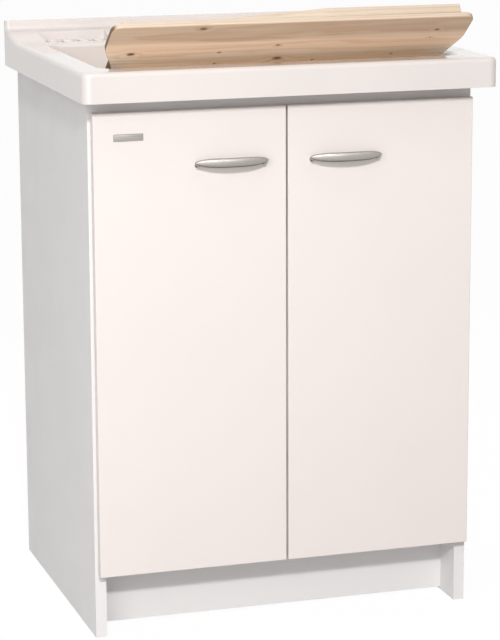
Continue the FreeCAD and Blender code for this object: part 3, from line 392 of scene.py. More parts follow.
@dataclass(frozen=True)
class Pine:
    """Bare pine: growth rings cut along the grain, streaks, pores, knots and darker end grain.

    In the board's own frame X runs along it, Y down it and Z square to it.
    """

    name: str
    pale: Colour
    ring: Colour
    end_grain: Colour
    knot_colour: Colour
    pith: tuple[float, float]
    origin: Place = (0.0, 0.0, 0.0)
    slope: float = 0.0
    knots: tuple[Knot, ...] = ()
    ring_width: float = 0.0042
    # A band of painted shade on the upper part of the lower face: its colour, how far down it reaches and
    # how deep into the board it lies.
    heart: Colour | None = None
    heart_reach: float = 0.042
    heart_depth: float = 0.003
    # A band of painted light on the lower part of the lower face, for light thrown up from the rim below:
    # its colour and where it starts.
    sap: Colour | None = None
    sap_start: float = 0.074
    # Painted shade on faces that look up.
    upper: Colour | None = None
    # Painted shade between the ribs.
    grooves: Grooves | None = None

    def knot_marks(self, s: Shader, board: Socket) -> tuple[Value, Value]:
        """Finds the knots, and the wood round them that flows about them.

        Args:
            s: the material in the making.
            board: the spot in the board's own frame.

        Returns:
            How far the spot lies in a knot and in the wood round one, both from 0 to 1.
        """
        core: Value = 0.0
        halo: Value = 0.0
        for knot in self.knots:
            away = s.vector("SUBTRACT", board, (knot.along, knot.down, 0.0))
            shrunk = s.vector("MULTIPLY", away, knot.shrink())
            distance = s.node("VectorMath", {0: shrunk}, operation="LENGTH").outputs["Value"]
            core = s.math("MAXIMUM", core, s.fade(distance, 0.35, 1.15, knot.dark, 0.0))
            halo = s.math("MAXIMUM", halo, s.fade(distance, 0.6, 3.2, 0.5 + 0.5 * knot.dark, 0.0))
        return core, halo

    def banded(self, s: Shader, wood: Socket, grain: Socket, bend: Socket,
               spot: Sequence[Socket]) -> Socket:
        """Lays painted light and shade over the plain wood, each with the same grain.

        A band of painted shade may lie along the upper edge of the lower face and a band of painted
        light, for light thrown up from the rim below, along its lower edge. Faces that look up may be
        painted darker as painted shade, and painted shade may darken the wood between ribs.

        Args:
            s: the material in the making.
            wood: the plain wood's colour.
            grain: the share of the rings' colour.
            bend: the slow noise that bends the rings, which the bands follow.
            spot: the place along, down and square to the board.

        Returns:
            The wood's colour.
        """
        along, down, up = spot
        edge = s.plus(down, s.times(s.math("SUBTRACT", bend, 0.5), 0.05))
        layers: list[tuple[Colour, Socket]] = []
        # Painted light along the lower edge of the lower face.
        if self.sap is not None:
            layers.append((self.sap, s.fade(edge, self.sap_start - 0.012, self.sap_start + 0.014)))
        # Painted shade along the upper edge of the lower face.
        if self.heart is not None:
            above = s.fade(edge, self.heart_reach - 0.008, self.heart_reach + 0.012, 1.0, 0.0)
            on_face = s.fade(up, 0.3 * self.heart_depth, self.heart_depth, 1.0, 0.0)
            layers.append((self.heart, s.times(above, on_face)))
        # Painted shade on faces that look up.
        if self.upper is not None:
            layers.append((self.upper, s.fade(s.facing()[2], 0.25, 0.55)))
        # Painted shade between the ribs.
        if self.grooves is not None:
            dark = tuple(self.grooves.tone * c for c in self.pale)
            layers.append((dark, self.grooves.cover(s, along, down, up)))
        for colour, cover in layers:
            ring = tuple(c * r / p for c, r, p in zip(colour, self.ring, self.pale))
            wood = s.mix(cover, wood, s.mix(grain, colour, ring))
        return wood

    def material(self) -> Material:
        """Makes the material.

        The rings are bands of the distance from the log's pith, which runs along the board. Slow noise
        bends them, and a hump round every knot makes them flow about it. Thin streaks and pores run along
        the board. Knots darken the colour, and faces square to the grain show end grain.

        Returns:
            The material.
        """
        s = Shader(self.name)
        turn = (-self.slope, 0.0, 0.0)

        def grained(scale: Place, detail: float, rough: float = 0.5) -> Socket:
            """Noise in the board's own frame."""
            return s.noise(s.place(scale, turn, self.origin), 1.0, detail, rough)

        board = s.place(turn=turn, origin=self.origin)
        spot = s.split(board)
        bend = grained((3.0, 26.0, 26.0), 3.0, 0.55)
        streaks = grained((3.0, 170.0, 170.0), 4.0, 0.65)
        pores = grained((40.0, 1500.0, 1500.0), 2.0, 0.6)
        tone = grained((3.5, 16.0, 16.0), 2.0)
        core, halo = self.knot_marks(s, board)

        side = s.math("SUBTRACT", spot[1], self.pith[0])
        rise = s.math("SUBTRACT", spot[2], self.pith[1])
        radius = s.math("SQRT", s.plus(s.times(side, side), s.times(rise, rise)))
        bent = s.plus(radius, s.times(bend, 0.014), s.times(halo, 0.004))
        band = s.math("FRACT", s.math("DIVIDE", bent, self.ring_width))
        late = s.times(s.fade(band, 0.35, 0.86), s.fade(band, 0.9, 1.0, 1.0, 0.0))
        lines = s.fade(streaks, 0.35, 0.75)
        grain = s.plus(s.times(late, 0.42), s.times(lines, 0.4), s.times(halo, 0.18))
        share = s.math("MINIMUM", grain, 1.0)

        warm = tuple(c * k for c, k in zip(self.pale, (1.0, 0.95, 0.88)))
        wood = s.mix(share, s.mix(s.fade(tone, 0.3, 0.7), self.pale, warm), self.ring)
        # Painted light and shade laid over the wood.
        wood = self.banded(s, wood, share, bend, spot)
        wood = s.mix(core, wood, self.knot_colour)
        square = s.fade(s.math("ABSOLUTE", s.facing()[0]), 0.45, 0.85)
        ends = s.mix(s.fade(streaks, 0.3, 0.7), self.end_grain, tuple(0.72 * c for c in self.end_grain))
        height = s.math("SUBTRACT", s.times(late, 0.5), s.times(s.fade(pores, 0.5, 0.8), 0.5))
        return s.finish(
            Base_Color=s.mix(square, wood, ends),
            Roughness=s.fade(grain, 0.0, 1.0, 0.62, 0.5),
            IOR=1.45,
            Specular_IOR_Level=0.35,
            Normal=s.bump(height, 0.00025, 0.45),
        )


@dataclass(frozen=True)
class BrushedMetal:
    """Metal with fine brush lines along one axis and a little uneven sheen."""

    name: str
    colour: Colour
    dull: Colour
    roughness: float = 0.3
    lines: Place = (6.0, 1400.0, 1400.0)
    depth: float = 0.00003
    anisotropic: float = 0.45
    # Painted shade on faces that look down.
    underside: Colour | None = None

    def material(self) -> Material:
        """Makes the material: stretched noise drives colour, roughness and normal.

        Faces that look down may be painted dark: painted shade standing in for the dark reflection of the
        shaded door below.

        Returns:
            The material.
        """
        s = Shader(self.name)
        brush = s.noise(s.place(self.lines), 1.0, 3.0, 0.6)
        cloud = s.noise(s.place(), 60.0, 3.0)
        colour = s.mix(s.fade(brush, 0.3, 0.75), self.colour, self.dull)
        # Painted shade on faces that look down.
        if self.underside is not None:
            colour = s.mix(s.fade(s.facing()[2], -0.75, -0.2, 1.0, 0.0), colour, self.underside)
        brushed = s.fade(brush, 0.3, 0.7, self.roughness - 0.07, self.roughness + 0.08)
        return s.finish(
            Base_Color=colour,
            Metallic=1.0,
            Roughness=s.plus(brushed, s.fade(cloud, 0.35, 0.7, 0.0, 0.07)),
            Anisotropic=self.anisotropic,
            Normal=s.bump(brush, self.depth, 0.5),
        )


@dataclass(frozen=True)
class Mottled:
    """A plain solid finish with speckle and a fine surface grain: rubber, matt plastic or plating."""

    name: str
    colour: Colour
    shade: Colour
    roughness: float = 0.55
    metallic: float = 0.0
    grain: float = 650.0
    depth: float = 0.00004

    def material(self) -> Material:
        """Makes the material: mottled colour, uneven roughness, grained normal.

        Returns:
            The material.
        """
        s = Shader(self.name)
        here = s.place()
        mottle = s.noise(here, 40.0, 4.0, 0.6)
        return s.finish(
            Base_Color=s.mix(s.fade(mottle, 0.3, 0.7), self.colour, self.shade),
            Metallic=self.metallic,
            Roughness=s.fade(mottle, 0.3, 0.7, self.roughness - 0.06, self.roughness + 0.07),
            Normal=s.bump(s.noise(here, self.grain, 2.0, 0.5), self.depth, 0.4),
        )


Finish = Moulding | FoilBoard | Pine | BrushedMetal | Mottled

FINISHES: dict[Slot, Finish] = {
    Slot.TUB: Moulding("tub_moulding", (0.785, 0.73, 0.705), (0.755, 0.705, 0.68)),
    Slot.DOOR: FoilBoard("door_foil", (0.87, 0.805, 0.775), (0.85, 0.785, 0.755)),
    Slot.CARCASS: FoilBoard("carcass_foil", (0.875, 0.86, 0.855), (0.855, 0.84, 0.835), 0.4),
    Slot.PINE: Pine(
        "pine_wedge", pale=(0.82, 0.675, 0.52), ring=(0.66, 0.47, 0.315), end_grain=(0.24, 0.155, 0.085),
        knot_colour=(0.17, 0.10, 0.05), pith=(0.10, -0.12), ring_width=0.006),
    Slot.BEECH: Pine(
        "beech_dowel", pale=(0.72, 0.55, 0.36), ring=(0.60, 0.42, 0.26), end_grain=(0.5, 0.34, 0.2),
        knot_colour=(0.3, 0.2, 0.1), pith=(0.0, -0.1), ring_width=0.003),
    # The nickel's last colour is painted shade on faces that look down.
    Slot.NICKEL: BrushedMetal(
        "satin_nickel", (0.46, 0.435, 0.41), (0.36, 0.34, 0.32), 0.48, underside=(0.12, 0.11, 0.10)),
    Slot.HINGE: BrushedMetal(
        "plated_steel", (0.66, 0.66, 0.67), (0.56, 0.56, 0.58), 0.28, lines=(200.0, 200.0, 1500.0)),
    Slot.ZINC: Mottled(
        "zinc_plating", (0.64, 0.64, 0.66), (0.54, 0.54, 0.57), 0.3, metallic=1.0, grain=900.0,
        depth=0.00002),
    Slot.CHROME: Mottled(
        "polished_chrome", (0.80, 0.80, 0.82), (0.76, 0.76, 0.79), 0.1, metallic=1.0, grain=500.0,
        depth=0.000004),
    Slot.RUBBER: Mottled("grey_rubber", (0.16, 0.16, 0.165), (0.12, 0.12, 0.125), 0.62),
    Slot.BUMPER: Mottled("bumper_pad", (0.70, 0.70, 0.68), (0.62, 0.62, 0.60), 0.4),
    Slot.TRAP: Mottled("trap_plastic", (0.82, 0.82, 0.82), (0.78, 0.78, 0.785), 0.38),
}


@cache
def material_of(finish: Finish) -> Material:
    """The material of a finish, made when it is first asked for."""
    return finish.material()


# Surfaces


@dataclass
class Surface:
    """Points and faces of one closed piece."""

    points: Array
    faces: list[list[int]]

    @staticmethod
    def tube(points: Array, ring: bool = False) -> "Surface":
        """A closed surface over rows of points, each row a loop.

        Args:
            points: array of rows x columns x 3.
            ring: whether the last row joins the first; otherwise both are filled with a face.

        Returns:
            The surface.
        """
        rows, columns = points.shape[:2]
        index = np.arange(rows * columns).reshape(rows, columns)
        if ring:
            index = np.concatenate([index, index[:1]])
        index = np.concatenate([index, index[:, :1]], axis=1)
        corners = (index[:-1, :-1], index[1:, :-1], index[1:, 1:], index[:-1, 1:])
        faces = np.stack(corners, axis=-1).reshape(-1, 4).tolist()
        if not ring:
            faces += [list(range(columns)), list(range((rows - 1) * columns, rows * columns))]
        return Surface(points.reshape(-1, 3), faces)

    def joined(self, other: "Surface") -> "Surface":
        """This surface and another as one."""
        moved = [[i + len(self.points) for i in face] for face in other.faces]
        return Surface(np.concatenate([self.points, other.points]), self.faces + moved)

    def mapped(self, turn: Array, origin: Place) -> "Surface":
        """The surface turned by a matrix and moved to an origin."""
        return Surface(self.points @ turn.T + np.asarray(origin), self.faces)


def grid_points(x: Array, y: Array, z: Array) -> Array:
    """Points of a grid from their three coordinates, each stretched to the grid's size."""
    return np.stack(np.broadcast_arrays(x, y, z), axis=-1)


def full_turn(steps: int) -> Array:
    """The angles of a whole turn in equal steps."""
    return np.linspace(0, 2 * np.pi, steps, endpoint=False)


def arc(x: float, y: float, radius: float, start: float, end: float, steps: int) -> Array:
    """Points of a circle about (x, y) between two angles, as pairs."""
    angle = np.linspace(start, end, steps)
    return np.array([x, y]) + radius * np.stack([np.cos(angle), np.sin(angle)], axis=1)


def smooth_step(value: Array, low: float, high: float) -> Array:
    """0 below low, 1 above high, and 3t2 - 2t3 of the share t between them."""
    t = np.clip((value - low) / (high - low), 0, 1)
    return t * t * (3 - 2 * t)


def revolve(profile: Array, turns: int, centre: Place, axis: Axis = Axis.UP,
            ripple: Callable[[Array], Array] | None = None) -> Surface:
    """A closed profile of (radius, height) pairs turned about an axis.

    The point at angle a is (r cos a, r sin a, h), with the radius r changed by a ripple.

    Args:
        profile: closed loop of (radius, height) pairs.
        turns: number of steps round the axis.
        centre: a point on the axis at height 0.
        axis: the axis.
        ripple: gives what is added to the radius at each angle and profile point.

    Returns:
        The surface.
    """
    angle = full_turn(turns)[:, None]
    radius, height = profile[None, :, 0], profile[None, :, 1]
    if ripple is not None:
        radius = radius + ripple(angle)
    points = grid_points(radius * np.cos(angle), radius * np.sin(angle), height)
    return Surface.tube(points[..., list(axis.value)] + np.asarray(centre), ring=True)


def rounded_loop(half_x: float, half_y: float, radius: float, steps: int = 5) -> Array:
    """A rectangle about the origin with quarter-round corners.

    Every corner is a quarter circle of the radius about a point that far inside both edges.

    Args:
        half_x: half its width.
        half_y: half its height.
        radius: corner radius.
        steps: points on every corner.

    Returns:
        Points round the loop, as pairs.
    """
    quarter = np.pi / 2
    inner_x, inner_y = half_x - radius, half_y - radius
    signs = ((1, 1), (-1, 1), (-1, -1), (1, -1))
    return np.concatenate([
        arc(sign_x * inner_x, sign_y * inner_y, radius, k * quarter, (k + 1) * quarter, steps)
        for k, (sign_x, sign_y) in enumerate(signs)
    ])


def slab(loop: Array, low: float, high: float, edge: float, steps: int = 5) -> Surface:
    """A flat plate with rounded edges, from a loop in its plane.

    Both edges are quarter circles: at angle a the loop is drawn in by edge (1 - sin a) along its normal and
    lies edge (1 - cos a) inside the face's level.

    Args:
        loop: points round the outline, counter-clockwise, as pairs.
        low: height of the lower face.
        high: height of the upper face.
        edge: radius of the edges.
        steps: points across every rounded edge.

    Returns:
        The surface.
    """
    ahead = np.roll(loop, -1, axis=0) - np.roll(loop, 1, axis=0)
    normal = np.stack([ahead[:, 1], -ahead[:, 0]], axis=1)
    normal /= np.maximum(np.linalg.norm(normal, axis=1, keepdims=True), 1e-12)
    angle = np.linspace(0, np.pi / 2, steps)
    inset = edge * (1 - np.sin(angle))
    rise = edge * (1 - np.cos(angle))
    insets = np.concatenate([inset, inset[::-1]])
    levels = np.concatenate([low + rise, high - rise[::-1]])
    flat = loop[None] - normal[None] * insets[:, None, None]
    return Surface.tube(grid_points(flat[..., 0], flat[..., 1], levels[:, None]))


# Pieces


def hang(name: str, data: bpy.types.ID) -> Piece:
    """Puts an object into the scene, at the origin.

    Args:
        name: the object's name.
        data: its mesh, lamp or camera.

    Returns:
        The object.
    """
    piece = bpy.data.objects.new(name, data)
    bpy.context.scene.collection.objects.link(piece)
    return piece


def settle(shell: bmesh.types.BMesh, mesh: bpy.types.Mesh) -> Piece:
    """Writes a shell into a mesh, shades it softly and puts it into the scene.

    Args:
        shell: the shell, which is used up.
        mesh: the mesh, whose name the object takes.

    Returns:
        The object.
    """
    shell.to_mesh(mesh)
    shell.free()
    mesh.polygons.foreach_set("use_smooth", np.ones(len(mesh.polygons), bool))
    return hang(mesh.name, mesh)


def build(name: str, surface: Surface, sharp: float = 35.0) -> Piece:
    """Puts a closed surface into a new object, with its faces outwards and soft shading.

    Args:
        name: the object's name.
        surface: its points and faces.
        sharp: edges over this angle in degrees stay sharp.

    Returns:
        The object.
    """
    mesh = bpy.data.meshes.new(name)
    mesh.from_pydata(surface.points.tolist(), [], surface.faces)
    shell = bmesh.new()
    shell.from_mesh(mesh)
    bmesh.ops.remove_doubles(shell, verts=shell.verts, dist=1e-6)
    bmesh.ops.recalc_face_normals(shell, faces=shell.faces)
    piece = settle(shell, mesh)
    mesh.set_sharp_from_angle(angle=math.radians(sharp))
    return piece


def merged_copy(node: str, name: str, sharp: float = 30.0) -> Piece:
    """A copy of a CAD node with its triangles joined and flat areas made whole, for soft shading.

    Args:
        node: the CAD node to copy.
        name: the new object's name.
        sharp: edges over this angle in degrees stay sharp.

    Returns:
        The object.
    """
    shell = bmesh.new()
    shell.from_mesh(frame["nodes"][node].data)
    bmesh.ops.remove_doubles(shell, verts=shell.verts, dist=2e-6)
    bmesh.ops.dissolve_limit(shell, angle_limit=math.radians(0.3), verts=shell.verts, edges=shell.edges)
    shell.normal_update()
    for edge in shell.edges:
        edge.smooth = edge.calc_face_angle(math.pi) <= math.radians(sharp)
    return settle(shell, bpy.data.meshes.new(name))


def soften(piece: Piece, width: float, angle: float = 40.0) -> None:
    """Rounds the sharp edges of a piece a little, and evens its normals.

    Args:
        piece: the object.
        width: how far the rounding reaches from the edge, in metres.
        angle: edges under this angle in degrees are left alone.
    """
    bevel = piece.modifiers.new("soft_edges", "BEVEL")
    bevel.width = width
    bevel.segments = 2
    bevel.limit_method = "ANGLE"
    bevel.angle_limit = math.radians(angle)
    bevel.use_clamp_overlap = True
    bevel.harden_normals = True


def even_normals(piece: Piece) -> None:
    """Lets large flat faces set the normals along their edges.

    Args:
        piece: the object.
    """
    weighted = piece.modifiers.new("even_normals", "WEIGHTED_NORMAL")
    weighted.keep_sharp = True
    weighted.weight = 80


def paint(piece: Piece, finish: Finish) -> None:
    """Gives a piece one finish."""
    piece.data.materials.clear()
    piece.data.materials.append(material_of(finish))


def dress(piece: Piece, node: str, slot: Slot, finish: Finish | None = None,
          stands_for: bool = True) -> None:
    """Gives a piece its finish and the body of a CAD node, and lets it stand for that node.

    Args:
        piece: the object.
        node: the CAD node that it belongs to.
        slot: the record's material slot.
        finish: its finish, where that isn't the slot's own.
        stands_for: whether it replaces the node, and isn't only added to it.
    """
    paint(piece, finish or FINISHES[slot])
    body = body_of(frame["nodes"][node])[0]
    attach(piece, body)
    if stands_for:
        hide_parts(node)
    LOG.info("%s rides on %s as %s", piece.name, body, slot.value)


def eased_copy(node: str, name: str, ease: float, slot: Slot, finish: Finish | None = None) -> None:
    """Replaces a CAD node by a smooth copy of it with eased edges.

    Args:
        node: the CAD node.
        name: the copy's name.
        ease: how far the rounding of its edges reaches, in metres.
        slot: the record's material slot.
        finish: its finish, where that isn't the slot's own.
    """
    piece = merged_copy(node, name)
    soften(piece, ease)
    dress(piece, node, slot, finish)


# Sub-assemblies


@dataclass
class Washboard:
    """The slanted pine washboard: a head plank, a ribbed board behind it and a wedge under them.

    The wedge rests on the tub's front wall.
    """

    half_head: float = 259.5 * MM
    head_length: float = 122 * MM
    head_thick: float = 7.5 * MM
    head_round: float = 14 * MM
    shoulder_start: float = 50 * MM
    shoulder_round: float = 40 * MM
    shoulder_taper: float = math.radians(20)
    half_board: float = 240 * MM
    board_length: float = 360 * MM
    board_thick: float = 13.5 * MM
    back_stations: tuple[float, ...] = (0.0, 30 * MM, 80 * MM, 200 * MM)
    relief_depth: float = 20 * MM
    relief_start: float = 45 * MM
    relief_end: float = -95 * MM
    rib_first: float = 112 * MM
    rib_pitch: float = 13.5 * MM
    rib_count: int = 18
    rib_half: float = 5 * MM
    rib_rise: float = 3 * MM
    rib_margin: float = 14 * MM
    rib_fade: float = 6 * MM
    slope: float = math.radians(36.4)
    top: Place = (0.0, -255 * MM, 871.5495 * MM)
    head_edge: float = 1.6 * MM
    board_ease: float = 1.2 * MM
    wedge_ease: float = 0.8 * MM
    head_knots: tuple[Knot, ...] = (
        Knot(-0.221, 0.0700, 0.0044), Knot(-0.132, 0.0090, 0.0042, 0.9), Knot(-0.095, 0.0734, 0.0022, 0.8),
        Knot(-0.095, 0.1037, 0.0020, 0.8), Knot(-0.0137, 0.0596, 0.0026, 0.75),
        Knot(-0.006, 0.0953, 0.0052, 0.85), Knot(0.048, 0.1036, 0.0024, 0.7),
        Knot(0.163, 0.0955, 0.0022, 0.6), Knot(0.2123, 0.0328, 0.0026, 0.9),
        Knot(0.2088, 0.0544, 0.0018, 0.5), Knot(0.258, 0.0757, 0.0020, 0.8),
    )
    board_knots: tuple[Knot, ...] = (
        Knot(0.205, 0.018, 0.003), Knot(-0.12, 0.15, 0.006), Knot(0.09, 0.26, 0.005),
    )

    @property
    def rib_last(self) -> float:
        """How far down the board the last rib lies."""
        return self.rib_first + self.rib_pitch * (self.rib_count - 1)

    def in_place(self, surface: Surface) -> Surface:
        """A surface in the board's own frame (along, down and outwards), brought to the tub."""
        c, s = math.cos(self.slope), math.sin(self.slope)
        return surface.mapped(np.array([[1, 0, 0], [0, c, s], [0, -s, c]]), self.top)

    def head(self) -> Surface:
        """The head plank: its outline carried through its thickness.

        The right half of the outline is a quarter circle at the upper corner, then an arc that turns by
        the taper angle, then a straight edge inwards to the lower end. The left half is its mirror image.

        Returns:
            The surface.
        """
        upper = arc(self.half_head - self.head_round, self.head_round, self.head_round, -np.pi / 2, 0, 12)
        shoulder = arc(self.half_head - self.shoulder_round, self.shoulder_start, self.shoulder_round,
                       0, self.shoulder_taper, 8)
        foot = shoulder[-1, 0] - (self.head_length - shoulder[-1, 1]) * math.tan(self.shoulder_taper)
        right = np.concatenate([upper, shoulder, [(foot, self.head_length)]])
        loop = np.concatenate([right, (right * np.array([-1, 1]))[::-1]])
        return self.in_place(slab(loop, 0.0, self.head_thick, self.head_edge))

    def ribs(self, down: Array) -> Array:
        """Heights of the ribs along the upper face: each rib is a sine hump in the distance down the board.

        Args:
            down: distances down the board.

        Returns:
            The height at each.
        """
        phase = (down - self.rib_first + self.rib_half) / self.rib_pitch
        in_rib = (phase % 1.0) * self.rib_pitch / (2 * self.rib_half)
        on_ribs = (phase >= 0) & (phase < self.rib_count) & (in_rib <= 1)
        return np.where(on_ribs, np.sin(np.pi * np.clip(in_rib, 0, 1)), 0.0) * self.rib_rise

    def panel(self) -> Surface:
        """The ribbed board: its long section carried across from side to side.

        The section runs along the lower face and back over the ribs, which fade out near the sides. The
        upper end follows the cut corner, a straight ramp from the start to the end of the relief.

        Returns:
            The surface.
        """
        across = np.concatenate([
            np.linspace(-self.half_board, self.relief_end, 14)[:-1],
            np.linspace(self.relief_end, self.relief_start, 20)[:-1],
            np.linspace(self.relief_start, self.half_board, 14),
        ])
        first, last = self.rib_first - 2 * self.rib_half, self.rib_last + 2 * self.rib_half
        lower = np.array([*self.back_stations, self.board_length])
        upper = np.concatenate([
            np.linspace(self.board_length, last, 4)[:-1],
            np.linspace(last, first, 8 * self.rib_count),
            np.linspace(first, 0.0, 8)[1:],
        ])
        down = np.concatenate([lower, upper])
        level = self.head_thick + np.repeat([0.0, self.board_thick], [len(lower), len(upper)])
        rise = np.concatenate([np.zeros(len(lower)), self.ribs(upper)])
        ramp = np.clip((self.relief_start - across) / (self.relief_start - self.relief_end), 0, 1)
        start = self.relief_depth * ramp
        share = np.clip(1 - down / first, 0, 1)
        from_side = self.half_board - np.abs(across)
        fade = smooth_step(from_side, self.rib_margin, self.rib_margin + self.rib_fade)
        y = down[None] + start[:, None] * share[None]
        z = level[None] + rise[None] * fade[:, None]
        return self.in_place(Surface.tube(grid_points(across[:, None], y, z)))

    def dress(self) -> None:
        """Builds the three pieces and gives each its own cut of pine, with painted light and shade on the
        head and the ribbed board.
        """
        # Painted shade between the board's ribs.
        grooves = Grooves(
            level=self.head_thick + self.board_thick, rise=self.rib_rise,
            start=self.rib_first - self.rib_half, end=self.rib_last + self.rib_half,
            half_width=self.half_board - self.rib_margin)
        wedge_pine = replace(FINISHES[Slot.PINE], origin=self.top, slope=self.slope)
        # The board's faces that look up are painted darker as painted shade.
        board_pine = replace(
            wedge_pine, name="pine_panel", pith=(0.15, -0.35), knots=self.board_knots, ring_width=0.0065,
            upper=(0.74, 0.63, 0.51), grooves=grooves)
        # The head's pale colour is raised as painted light on its lower face, which looks down into shade;
        # that face also has a band of painted shade above and of painted light below, and its faces that
        # look up are painted darker as painted shade.
        head_pine = replace(
            wedge_pine, name="pine_head", pale=(1.0, 0.81, 0.635), ring=(0.80, 0.54, 0.365),
            pith=(0.021, -0.16), knots=self.head_knots, ring_width=0.0042, heart=(0.73, 0.55, 0.40),
            sap=(1.0, 0.90, 0.75), upper=(0.76, 0.65, 0.53))
        dress(build("washboard_head_plank", self.head()), "washboard_head", Slot.PINE, head_pine)
        board = build("washboard_ribbed_board", self.panel(), sharp=28.0)
        soften(board, self.board_ease, angle=60.0)
        dress(board, "washboard_panel", Slot.PINE, board_pine)
        eased_copy("washboard_rest", "washboard_wedge", self.wedge_ease, Slot.PINE, wedge_pine)


@dataclass
class Handle:
    """A bowed, boat-shaped leaf of metal, carried by a foot under each end."""

    side: Side
    from_middle: float = 83.5 * MM
    level: float = 679 * MM
    half: float = 53 * MM
    reach: float = 24 * MM
    tip: float = 12 * MM
    band: float = 4.5 * MM
    above: float = 6.5 * MM
    below: float = 6.7 * MM
    set_back: float = 1.2 * MM
    fullness: float = 4.0
    squareness: float = 3.4
    blunt_tips: float = 0.9995
    foot: float = 3 * MM
    foot_waist: float = 0.12
    foot_spread: float = 48 * MM
    foot_drop: float = 4.5 * MM
    foot_lift: float = 2.5 * MM

    @property
    def centre(self) -> float:
        """Where the handle's middle lies along X."""
        return self.side.value * self.from_middle

    @staticmethod
    def bow(x: Array, half: float, rise: float) -> Array:
        """Height of a circular arc over its chord at a distance x from the middle."""
        radius = (half ** 2 + rise ** 2) / (2 * rise)
        return np.sqrt(np.maximum(radius ** 2 - x ** 2, 0)) - (radius - rise)

    def screw_places(self) -> list[Place]:
        """Where the heads of its two screws sit on the back of the door."""
        level = self.level - self.foot_drop
        return [(self.centre + end * self.foot_spread, DOOR_BACK, level) for end in (-1, 1)]

    def leaf(self) -> Surface:
        """The leaf: a crowned section carried along the bow.

        At a distance x along the handle the section's height is (1 - |x/half|^fullness)^0.6 of its
        greatest, which gives the boat's outline. The section is a superellipse, |u|^p + |v|^p = 1, bent
        back towards the door by an amount that grows with v squared.

        Returns:
            The surface.
        """
        x = self.half * np.sin(np.linspace(-np.pi / 2, np.pi / 2, 97))[:, None] * self.blunt_tips
        around = full_turn(48)[None]
        outer = self.tip + self.bow(x, self.half, self.reach - self.tip)
        boat = (1 - np.abs(x / self.half) ** self.fullness) ** 0.6
        power = 2 / self.squareness
        u = np.sign(np.cos(around)) * np.abs(np.cos(around)) ** power
        v = np.sign(np.sin(around)) * np.abs(np.sin(around)) ** power
        depth = outer + self.band / 2 * (u - 1) - self.set_back * boat * v ** 2
        height = self.level + boat * v * np.where(v > 0, self.above, self.below)
        return Surface.tube(grid_points(self.centre + x, DOOR_FACE - depth, height))

    def feet(self) -> Surface:
        """The feet: waisted round bars that rise a little from the door to the leaf.

        Returns:
            The surface.
        """
        along = np.linspace(0, 1, 9)[:, None]
        turn = full_turn(32)[None]
        radius = self.foot * (1 - self.foot_waist * np.sin(np.pi * along))
        height = self.level - self.foot_drop + self.foot_lift * along - radius * np.sin(turn)
        ends = (self.centre - self.foot_spread, self.centre + self.foot_spread)
        left, right = (
            Surface.tube(grid_points(x + radius * np.cos(turn), DOOR_FACE - self.tip * along, height))
            for x in ends
        )
        return left.joined(right)

    def dress(self) -> None:
        """Builds the handle in satin nickel."""
        piece = build(f"{self.side.word}_bow_handle", self.leaf().joined(self.feet()), sharp=50.0)
        dress(piece, f"{self.side.word}_handle", Slot.NICKEL)


@dataclass
class Nameplate:
    """A bare plate with a fine raised border."""

    half_width: float = 21 * MM
    half_height: float = 5 * MM
    thick: float = 0.8 * MM
    face_share: float = 0.6
    face_edge: float = 0.12 * MM
    border: float = 0.9 * MM
    outer_round: float = 0.7 * MM
    inner_round: float = 0.3 * MM
    centre: Place = (-228 * MM, DOOR_FACE, 717.5 * MM)

    def dress(self) -> None:
        """Builds the plate: a thin slab with a frame standing a little proud of it."""
        outer = rounded_loop(self.half_width, self.half_height, self.outer_round)
        inner = rounded_loop(
            self.half_width - self.border, self.half_height - self.border, self.inner_round)
        face = slab(outer, 0, self.face_share * self.thick, self.face_edge, 3)
        loops = np.stack([outer, outer, inner, inner])
        levels = np.array([0.0, self.thick, self.thick, 0.0])[:, None]
        rim = Surface.tube(grid_points(loops[..., 0], loops[..., 1], levels), ring=True)
        stand = np.array([[1, 0, 0], [0, 0, -1], [0, 1, 0]])
        piece = build("bare_nameplate", face.joined(rim).mapped(stand, self.centre))
        dress(piece, "nameplate", Slot.NICKEL)


@dataclass
class Screws:
    """A set of cross-head screws along one direction."""

    node: str
    places: list[Place]
    out: Place
    shank: float
    shank_radius: float = 2 * MM
    thread_pitch: float = 1.1 * MM
    thread_share: float = 0.06
    tip: float = 2 * MM
    head_radius: float = 3.8 * MM
    head_thick: float = 1.6 * MM
    dome_share: float = 1.15
    cross_half: float = 0.42 * MM
    cross_reach: float = 2.3 * MM
    cross_depth: float = 1.0 * MM

    def one(self) -> Surface:
        """A screw along +Z with its head's seat at height 0.

        The head is a flat dome, part of an ellipse a little wider than the head, and within the cross it
        sinks by the depth. The shank is a cylinder whose radius swings with its length, as a thread's
        crests do, and narrows over the tip.

        Returns:
            The surface.
        """
        around = full_turn(48)[None]
        reach = np.linspace(1, 0.02, 12)[:, None] * self.head_radius
        x, y = reach * np.cos(around), reach * np.sin(around)
        dome = self.head_thick * np.sqrt(1 - (reach / (self.dome_share * self.head_radius)) ** 2)
        arm = np.minimum(np.abs(x), np.abs(y)) < self.cross_half
        sunk = arm & (np.maximum(np.abs(x), np.abs(y)) < self.cross_reach)
        top = grid_points(x, y, dome - self.cross_depth * sunk)
        seat = grid_points(x[:1], y[:1], np.zeros(1))
        depth = np.linspace(0, -self.shank, 30)[:, None]
        crests = np.cos(depth * 2 * np.pi / self.thread_pitch)
        thread = self.shank_radius * (1 - self.thread_share + self.thread_share * crests)
        point = self.shank_radius * np.clip((depth + self.shank) / self.tip, 0.05, 1)
        radius = np.minimum(thread, point)
        stem = grid_points(radius * np.cos(around), radius * np.sin(around), depth)
        return Surface.tube(np.concatenate([top[::-1], seat, stem]))

    def dress(self) -> None:
        """Builds the set as one piece."""
        turn = np.array(Vector(self.out).to_track_quat("Z", "Y").to_matrix())
        screws = [self.one().mapped(turn, place) for place in self.places]
        dress(build(f"{self.node}_cross_head", reduce(Surface.joined, screws)), self.node, Slot.ZINC)


